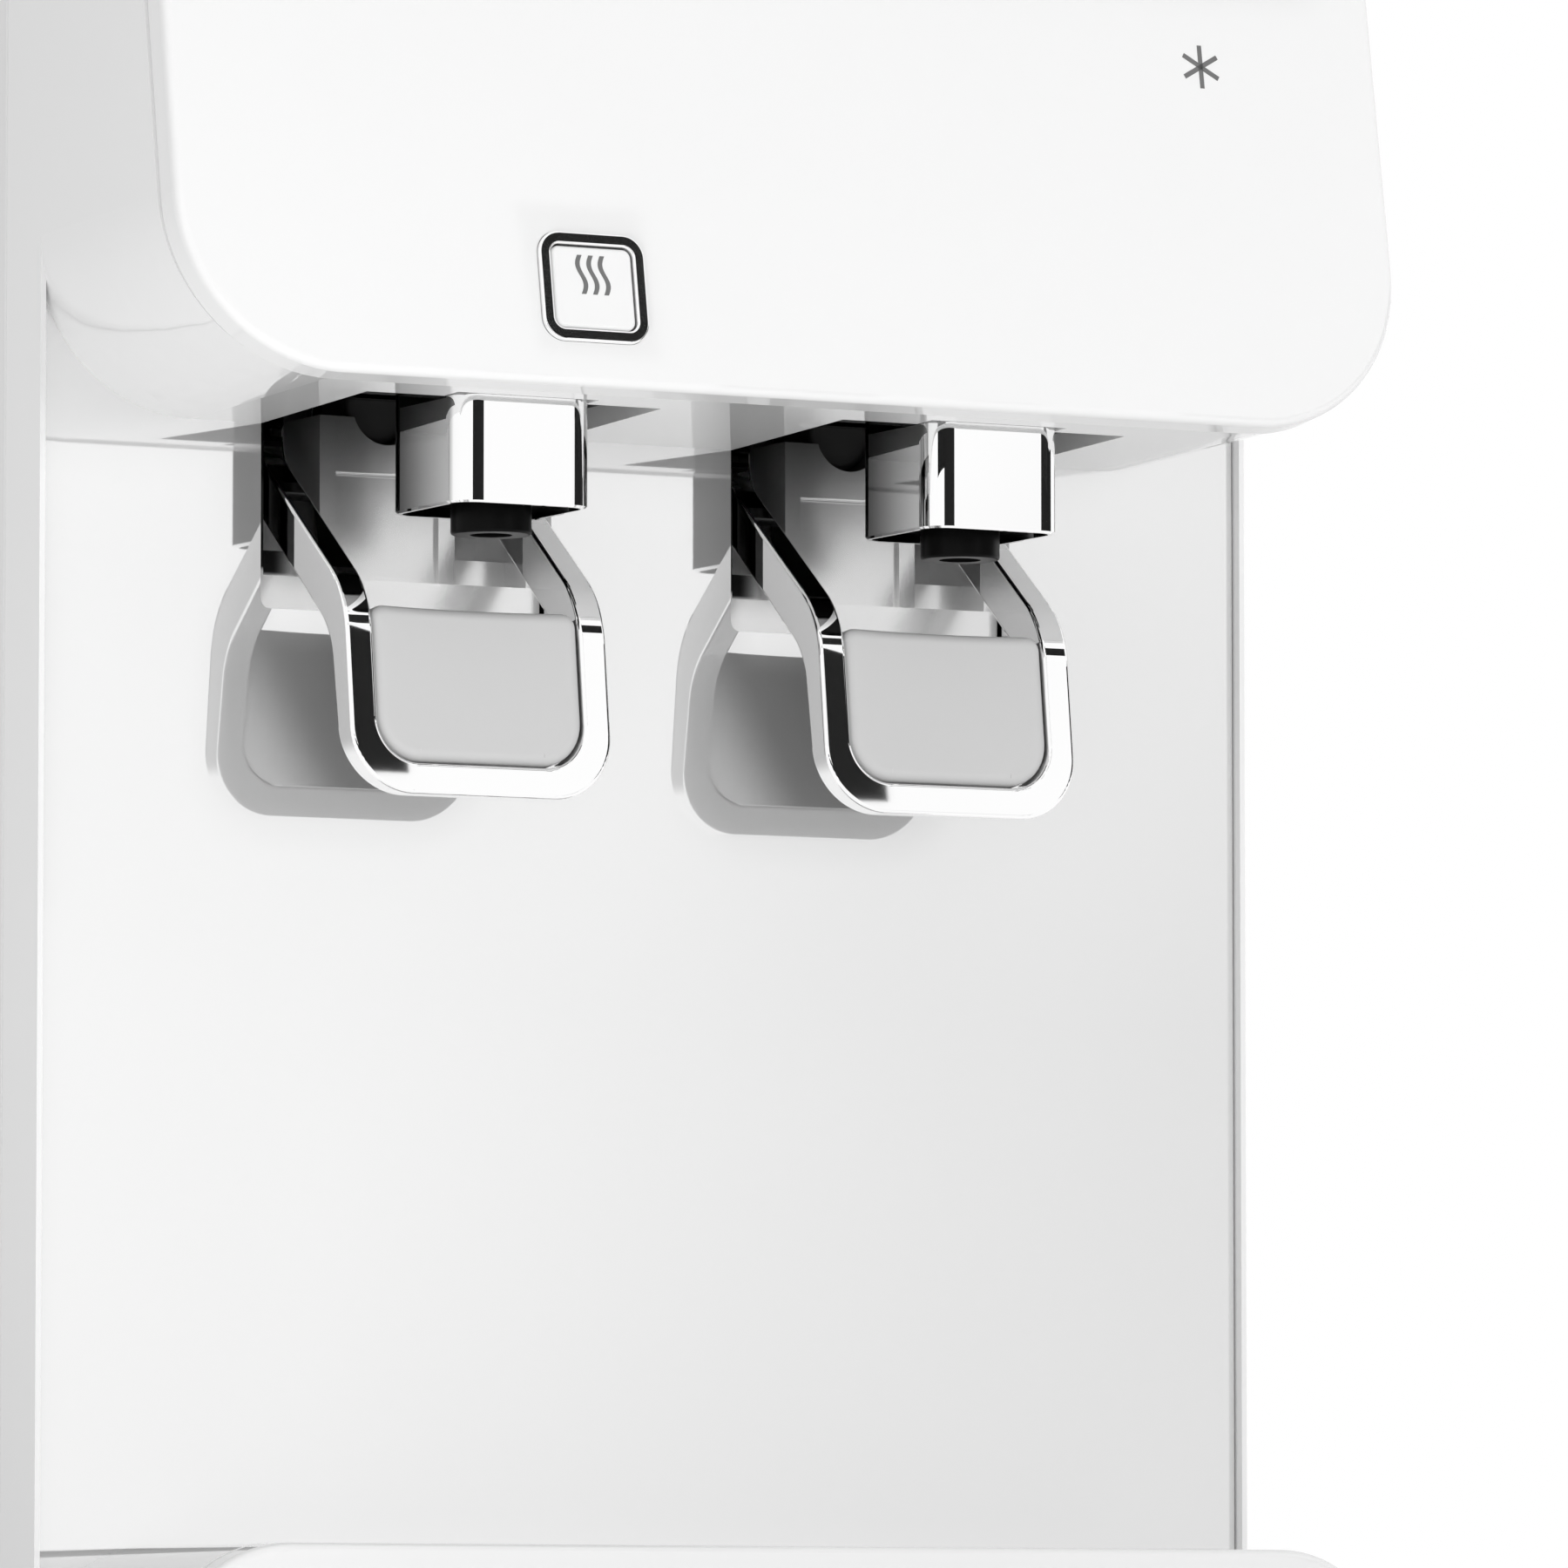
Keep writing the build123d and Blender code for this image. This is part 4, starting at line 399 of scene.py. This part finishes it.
def finish_piece(shape, name, body, finish, place, smooth=True):
    """Turns a shape in millimetres into a placed piece that rides on a body."""
    bmesh.ops.remove_doubles(shape, verts=shape.verts, dist=1e-5)
    bmesh.ops.recalc_face_normals(shape, faces=shape.faces)
    bmesh.ops.transform(shape, matrix=Matrix.Scale(MM, 4) @ place, verts=shape.verts)
    mesh = bpy.data.meshes.new(name)
    shape.to_mesh(mesh)
    shape.free()
    mesh.materials.append(finishes[finish])
    if smooth:
        mesh.shade_smooth()
        mesh.set_sharp_from_angle(angle=radians(40))
    piece = bpy.data.objects.new(name, mesh)
    bpy.context.scene.collection.objects.link(piece)
    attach(piece, body)
    return piece


def cover_place(x, rise, out):
    """Turns a flat shape, first axis right and second axis up, onto the front cover."""
    turn = Matrix.Rotation(pi / 2 - cover_tilt, 4, "X")
    along = Vector((0, sin(cover_tilt), cos(cover_tilt)))
    outward = Vector((0, -cos(cover_tilt), sin(cover_tilt)))
    origin = Vector((x, cover_front_y, cover_low_z)) + rise * along + out * outward
    return Matrix.Translation(origin) @ turn


def make_heat_mark():
    """Three wavy strokes on the button."""
    stroke_height = 7.5
    stroke_width = 0.95
    sway = 0.62
    lean = 0.4
    pitch = 2.35
    mark_x = -45.2
    mark_up = 21.1
    print_height = 0.06
    shape = bmesh.new()
    for column in (-1, 0, 1):
        made = bmesh.ops.create_grid(shape, x_segments=2, y_segments=28, size=0.5)
        for vert in made["verts"]:
            along = vert.co.y
            vert.co.x = vert.co.x * stroke_width + column * pitch
            vert.co.x -= sway * sin(2 * pi * along) + lean * along
            vert.co.y = along * stroke_height
    thicken(shape, print_height)
    place = cover_place(mark_x, mark_up, button_proud)
    finish_piece(shape, "heat_mark", "lock_button", "printed_grey", place, smooth=False)


def thicken(shape, height):
    """Raises flat faces into a thin print."""
    faces = shape.faces[:]
    made = bmesh.ops.extrude_face_region(shape, geom=faces)
    raised = [item for item in made["geom"] if isinstance(item, bmesh.types.BMVert)]
    bmesh.ops.translate(shape, vec=(0, 0, height), verts=raised)


def make_cold_mark():
    """Six-armed star on the front cover, above the cold lever."""
    arm_length = 8.6
    arm_width = 0.95
    star_x = 90.3
    star_up = 71.0
    print_height = 0.05
    shape = bmesh.new()
    for turn in range(3):
        made = bmesh.ops.create_grid(shape, x_segments=1, y_segments=1, size=0.5)
        size = Matrix.Diagonal((arm_width, arm_length, 1, 1))
        spread = Matrix.Rotation(turn * pi / 3, 4, "Z") @ size
        bmesh.ops.transform(shape, matrix=spread, verts=made["verts"])
    thicken(shape, print_height)
    place = cover_place(star_x, star_up, 0.0)
    finish_piece(shape, "cold_mark", "cabinet", "printed_grey", place, smooth=False)


def cut(shape, place, normal):
    """Adds a loop of edges where a plane crosses the shape."""
    everything = shape.verts[:] + shape.edges[:] + shape.faces[:]
    bmesh.ops.bisect_plane(shape, geom=everything, plane_co=place, plane_no=normal)


def round_edges(shape, edges, radius, segments):
    bmesh.ops.bevel(
        shape, geom=edges, offset=radius, segments=segments, profile=0.5, affect="EDGES", material=-1
    )


def make_pad(name, x):
    """Silicone pad of a lever: rounded outline, soft edge, a shallow dish in its face and a back with
    painted light and shade.
    """
    width = 43.1
    height = 29.6
    depth = 5.0
    top_dish = 0.4
    face_dish = 0.2
    low_corner = 8.6
    high_corner = 3.0
    rim_round = 2.2
    heel_height = 5.9
    heel_gap = 0.05
    lever_front = 33.5
    shape = bmesh.new()
    size = Matrix.Diagonal((width, height, depth, 1))
    centre = Matrix.Translation((0, height / 2, -depth / 2))
    bmesh.ops.create_cube(shape, size=1.0, matrix=centre @ size)
    for at_top, corner in ((False, low_corner), (True, high_corner)):
        edges = []
        for edge in shape.edges:
            start, end = edge.verts[0].co, edge.verts[1].co
            if abs(start.z - end.z) > depth / 2 and (start.y > height / 2) == at_top:
                edges.append(edge)
        round_edges(shape, edges, corner, 10)
    for step in range(-4, 5):
        cut(shape, (step * width / 10, 0, 0), (1, 0, 0))
    for vert in shape.verts:
        lift = max(vert.co.y / height - 0.5, 0) * 2
        vert.co.y -= top_dish * lift * (1 - (2 * vert.co.x / width) ** 2)
    shape.normal_update()
    face = [f for f in shape.faces if f.normal.z > 0.9]
    rim = [e for e in shape.edges if sum(f in face for f in e.link_faces) == 1]
    round_edges(shape, rim, rim_round, 8)
    for step in range(1, 7):
        cut(shape, (0, step * height / 7, 0), (0, 1, 0))
    for vert in shape.verts:
        if vert.co.z > -0.001:
            across = 1 - (2 * vert.co.x / width) ** 2
            upward = 1 - (2 * vert.co.y / height - 1) ** 2
            vert.co.z -= face_dish * across * upward
    shape.normal_update()
    for part in shape.faces:
        part.material_index = int(part.normal.z < -0.9)
    low = heel_height + heel_gap + depth * sin(lever_lean)
    front = lever_front - low * tan(lever_lean)
    turn = Matrix.Rotation(pi / 2 - lever_lean, 4, "X")
    place = Matrix.Translation((x, wall_y - front, hood_z - lever_drop + low)) @ turn
    body = f"{name}_lever_set"
    piece = finish_piece(shape, f"{name}_press_pad", body, "pad_silicone", place)
    piece.data.materials.append(pad_backs[name])
    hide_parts(f"{name}_pad")


def make_rocker_marks(name, x):
    """On bar above and off ring below, printed in the dish of a rear rocker."""
    dish_y = 237.58
    dish_lean = radians(13)
    middle_z = 118.0
    mark_rise = 5.0
    sunk = 0.1
    height = 0.22
    bar_width = 0.7
    bar_height = 3.6
    ring_inner = 1.3
    ring_outer = 1.9
    bar = bmesh.new()
    size = Matrix.Diagonal((bar_width, bar_height, 1, 1))
    bmesh.ops.create_grid(bar, x_segments=1, y_segments=1, size=0.5, matrix=size)
    ring = bmesh.new()
    for radius in (ring_inner, ring_outer):
        bmesh.ops.create_circle(ring, segments=32, radius=radius)
    bmesh.ops.bridge_loops(ring, edges=ring.edges[:])
    backward = Matrix.Rotation(pi, 4, "Z") @ Matrix.Rotation(pi / 2, 4, "X")
    for label, shape, side in (("on", bar, 1), ("off", ring, -1)):
        thicken(shape, height)
        lean = Matrix.Rotation(-side * dish_lean, 4, "X")
        origin = Matrix.Translation((x, dish_y, middle_z + side * mark_rise))
        place = origin @ lean @ backward @ Matrix.Translation((0, 0, -sunk))
        mark = f"{name}_rocker_{label}_mark"
        finish_piece(shape, mark, f"{name}_rocker", "printed_white", place, smooth=False)


make_heat_mark()
make_cold_mark()
for name, x in (("hot", 45.0), ("cold", 79.0)):
    make_rocker_marks(name, x)
for name, x in dispensers.items():
    make_pad(name, x)


# Stage: floor, light and camera

def flat_card(name, corners, material):
    """Four-cornered stage piece."""
    shape = bmesh.new()
    shape.faces.new([shape.verts.new(corner) for corner in corners])
    mesh = bpy.data.meshes.new(name)
    shape.to_mesh(mesh)
    shape.free()
    mesh.materials.append(material)
    card = bpy.data.objects.new(name, mesh)
    bpy.context.scene.collection.objects.link(card)
    return card


def make_floor():
    """Pale paper floor that mirrors see as white as the background."""
    reach = 4.0
    material = skin("floor_paper", 0.86, 0.84, (0.6, 0.7), grain=300.0)
    tree = material.node_tree
    white = add_node(tree, "ShaderNodeEmission", strength=1.0)
    path = add_node(tree, "ShaderNodeLightPath")
    mix = add_node(tree, "ShaderNodeMixShader")
    tree.links.new(path.outputs["Is Glossy Ray"], mix.inputs[0])
    tree.links.new(tree.nodes["Principled BSDF"].outputs[0], mix.inputs[1])
    tree.links.new(white.outputs[0], mix.inputs[2])
    tree.links.new(mix.outputs[0], tree.nodes["Material Output"].inputs["Surface"])
    corners = [(-reach, -reach, 0), (reach, -reach, 0), (reach, reach, 0), (-reach, reach, 0)]
    flat_card("floor", corners, material)


make_floor()

flag_finish = skin("flag_cloth", 0.004, 0.006, (0.9, 0.95))
flag_middle_y = -0.2
flag_distance = 1.5
flag_low = 0.3


def mirror_only(card):
    """Leaves a card to be seen by polished surfaces alone."""
    card.visible_camera = False
    card.visible_diffuse = False
    card.visible_shadow = False


def dark_flag(name, corners):
    """Dark card for the strips in the chrome."""
    mirror_only(flat_card(name, corners, flag_finish))


def upright(distance, from_angle, to_angle, low, high):
    """Corners of an upright card around the object; angles are degrees right of the front."""
    ends = []
    for angle in (from_angle, to_angle):
        turn = radians(angle)
        ends.append((distance * sin(turn), flag_middle_y - distance * cos(turn)))
    (ax, ay), (bx, by) = ends
    return [(ax, ay, low), (bx, by, low), (bx, by, high), (ax, ay, high)]


def facing_card(y, x, z):
    """Corners of a small card that faces the object; x and z are its limits, in millimetres."""
    low = [(x[0] * MM, y * MM, z[0] * MM), (x[1] * MM, y * MM, z[0] * MM)]
    return low + [(x[1] * MM, y * MM, z[1] * MM), (x[0] * MM, y * MM, z[1] * MM)]


dark_flag("flag_front", upright(flag_distance, -22, 20, flag_low, 0.5))
dark_flag("flag_right", upright(flag_distance, 34, 86, flag_low, 0.65))

# Small flags by their distance: the limits across and upwards, for the place on the chrome that mirrors them
small_flags = {
    -550.0: {
        "flag_hot_arm": ((84.0, 104.0), (332.0, 438.0)),
        "flag_cold_arm": ((203.0, 224.0), (330.0, 438.0)),
        "flag_bezel_left": ((111.0, 118.0), (444.0, 480.0)),
        "flag_bezel_right": ((134.0, 141.0), (444.0, 480.0)),
        "flag_bezel_low": ((118.0, 134.0), (444.0, 452.0)),
        "flag_bezel_high": ((118.0, 134.0), (468.0, 480.0)),
    },
    -270.0: {
        "flag_hot_knee": ((-10.0, 25.0), (284.0, 298.0)),
        "flag_cold_knee": ((91.0, 127.0), (284.0, 298.0)),
    },
    -1500.0: {
        "flag_hot_bend": ((640.0, 790.0), (1060.0, 1340.0)),
        "flag_cold_bend": ((800.0, 960.0), (1060.0, 1340.0)),
    },
}
for flag_y, flags in small_flags.items():
    for name, (x, z) in flags.items():
        dark_flag(name, facing_card(flag_y, x, z))


def make_fade_card():
    """Card that the wall mirrors: white on the left, fading to pale grey on the right."""
    white_x = 0.42
    grey_x = 0.72
    grey = 0.79
    level_z = 0.25
    slant = 1.0
    card_y = -1200.0
    across = (400.0, 735.0)
    upward = (40.0, 480.0)
    material = bpy.data.materials.new("fade_card")
    material.use_nodes = True
    tree = material.node_tree
    tree.nodes.clear()
    parts = add_node(tree, "ShaderNodeSeparateXYZ")
    rise = add_node(tree, "ShaderNodeMapRange", from_min=level_z, from_max=level_z + 1)
    rise.inputs["To Min"].default_value = 0.0
    rise.inputs["To Max"].default_value = slant
    shift = add_node(tree, "ShaderNodeMath", operation="SUBTRACT")
    fade = add_node(tree, "ShaderNodeMapRange", from_min=white_x, from_max=grey_x)
    fade.inputs["To Min"].default_value = 1.0
    fade.inputs["To Max"].default_value = grey
    glow = add_node(tree, "ShaderNodeEmission")
    out = add_node(tree, "ShaderNodeOutputMaterial")
    link = tree.links.new
    link(object_place(tree), parts.inputs[0])
    link(parts.outputs["Z"], rise.inputs["Value"])
    link(parts.outputs["X"], shift.inputs[0])
    link(rise.outputs["Result"], shift.inputs[1])
    link(shift.outputs[0], fade.inputs["Value"])
    link(fade.outputs["Result"], glow.inputs["Strength"])
    link(glow.outputs[0], out.inputs["Surface"])
    mirror_only(flat_card("fade_card", facing_card(card_y, across, upward), material))


make_fade_card()

soft_level = 0.53
white_level = 1.0
world = bpy.data.worlds.new("studio")
bpy.context.scene.world = world
world.use_nodes = True
tree = world.node_tree
tree.nodes.clear()
soft = add_node(tree, "ShaderNodeBackground", color=rgba(1.0), strength=soft_level)
paper = add_node(tree, "ShaderNodeBackground", color=rgba(1.0), strength=white_level)
path = add_node(tree, "ShaderNodeLightPath")
seen = add_node(tree, "ShaderNodeMath", operation="MAXIMUM")
clear = add_node(tree, "ShaderNodeMath", operation="MAXIMUM")
mix = add_node(tree, "ShaderNodeMixShader")
out = add_node(tree, "ShaderNodeOutputWorld")
tree.links.new(path.outputs["Is Camera Ray"], seen.inputs[0])
tree.links.new(path.outputs["Is Glossy Ray"], seen.inputs[1])
tree.links.new(seen.outputs[0], clear.inputs[0])
tree.links.new(path.outputs["Is Transmission Ray"], clear.inputs[1])
tree.links.new(clear.outputs[0], mix.inputs[0])
tree.links.new(soft.outputs[0], mix.inputs[1])
tree.links.new(paper.outputs[0], mix.inputs[2])
tree.links.new(mix.outputs[0], out.inputs["Surface"])


def soft_lamp(name, place, target, size, power):
    """Large soft area lamp that looks at a point."""
    lamp = bpy.data.lights.new(name, "AREA")
    lamp.shape = "RECTANGLE"
    lamp.size, lamp.size_y = size
    lamp.energy = power
    carrier = bpy.data.objects.new(name, lamp)
    carrier.location = place
    carrier.rotation_euler = (Vector(target) - Vector(place)).to_track_quat("-Z", "Y").to_euler()
    carrier.visible_glossy = False
    bpy.context.scene.collection.objects.link(carrier)


soft_lamp("key_lamp", place=(0.6, -1.7, 0.42), target=(0, -0.2, 0.25), size=(0.45, 0.45), power=8.5)
soft_lamp("fill_lamp", place=(-0.7, -1.8, 0.2), target=(0, -0.2, 0.25), size=(1.0, 0.7), power=2.0)
soft_lamp("low_lamp", place=(-1.1, -0.8, 0.12), target=(0, -0.1, 0.3), size=(0.7, 0.2), power=0.5)
soft_lamp("floor_lamp", place=(-0.5, -0.6, 0.01), target=(-0.5, -0.6, 1.0), size=(0.6, 0.6), power=2.2)
soft_lamp("top_lamp", place=(0.3, -1.2, 1.7), target=(0, -0.1, 0.4), size=(1.4, 1.4), power=2.0)

photo_camera = bpy.data.cameras.new("photo_camera")
photo_camera.sensor_fit = "HORIZONTAL"
photo_camera.sensor_width = 36.0
photo_camera.lens = 264.33
photo_camera.clip_end = 50.0
camera = bpy.data.objects.new("photo_camera", photo_camera)
camera.location = (-1.0127, -2.1362, 0.0458)
aim = Vector((0.01793, -0.2043, 0.2211)) - camera.location
camera.rotation_euler = aim.to_track_quat("-Z", "Y").to_euler()
bpy.context.scene.collection.objects.link(camera)
bpy.context.scene.camera = camera
bpy.context.scene.view_settings.view_transform = "Standard"
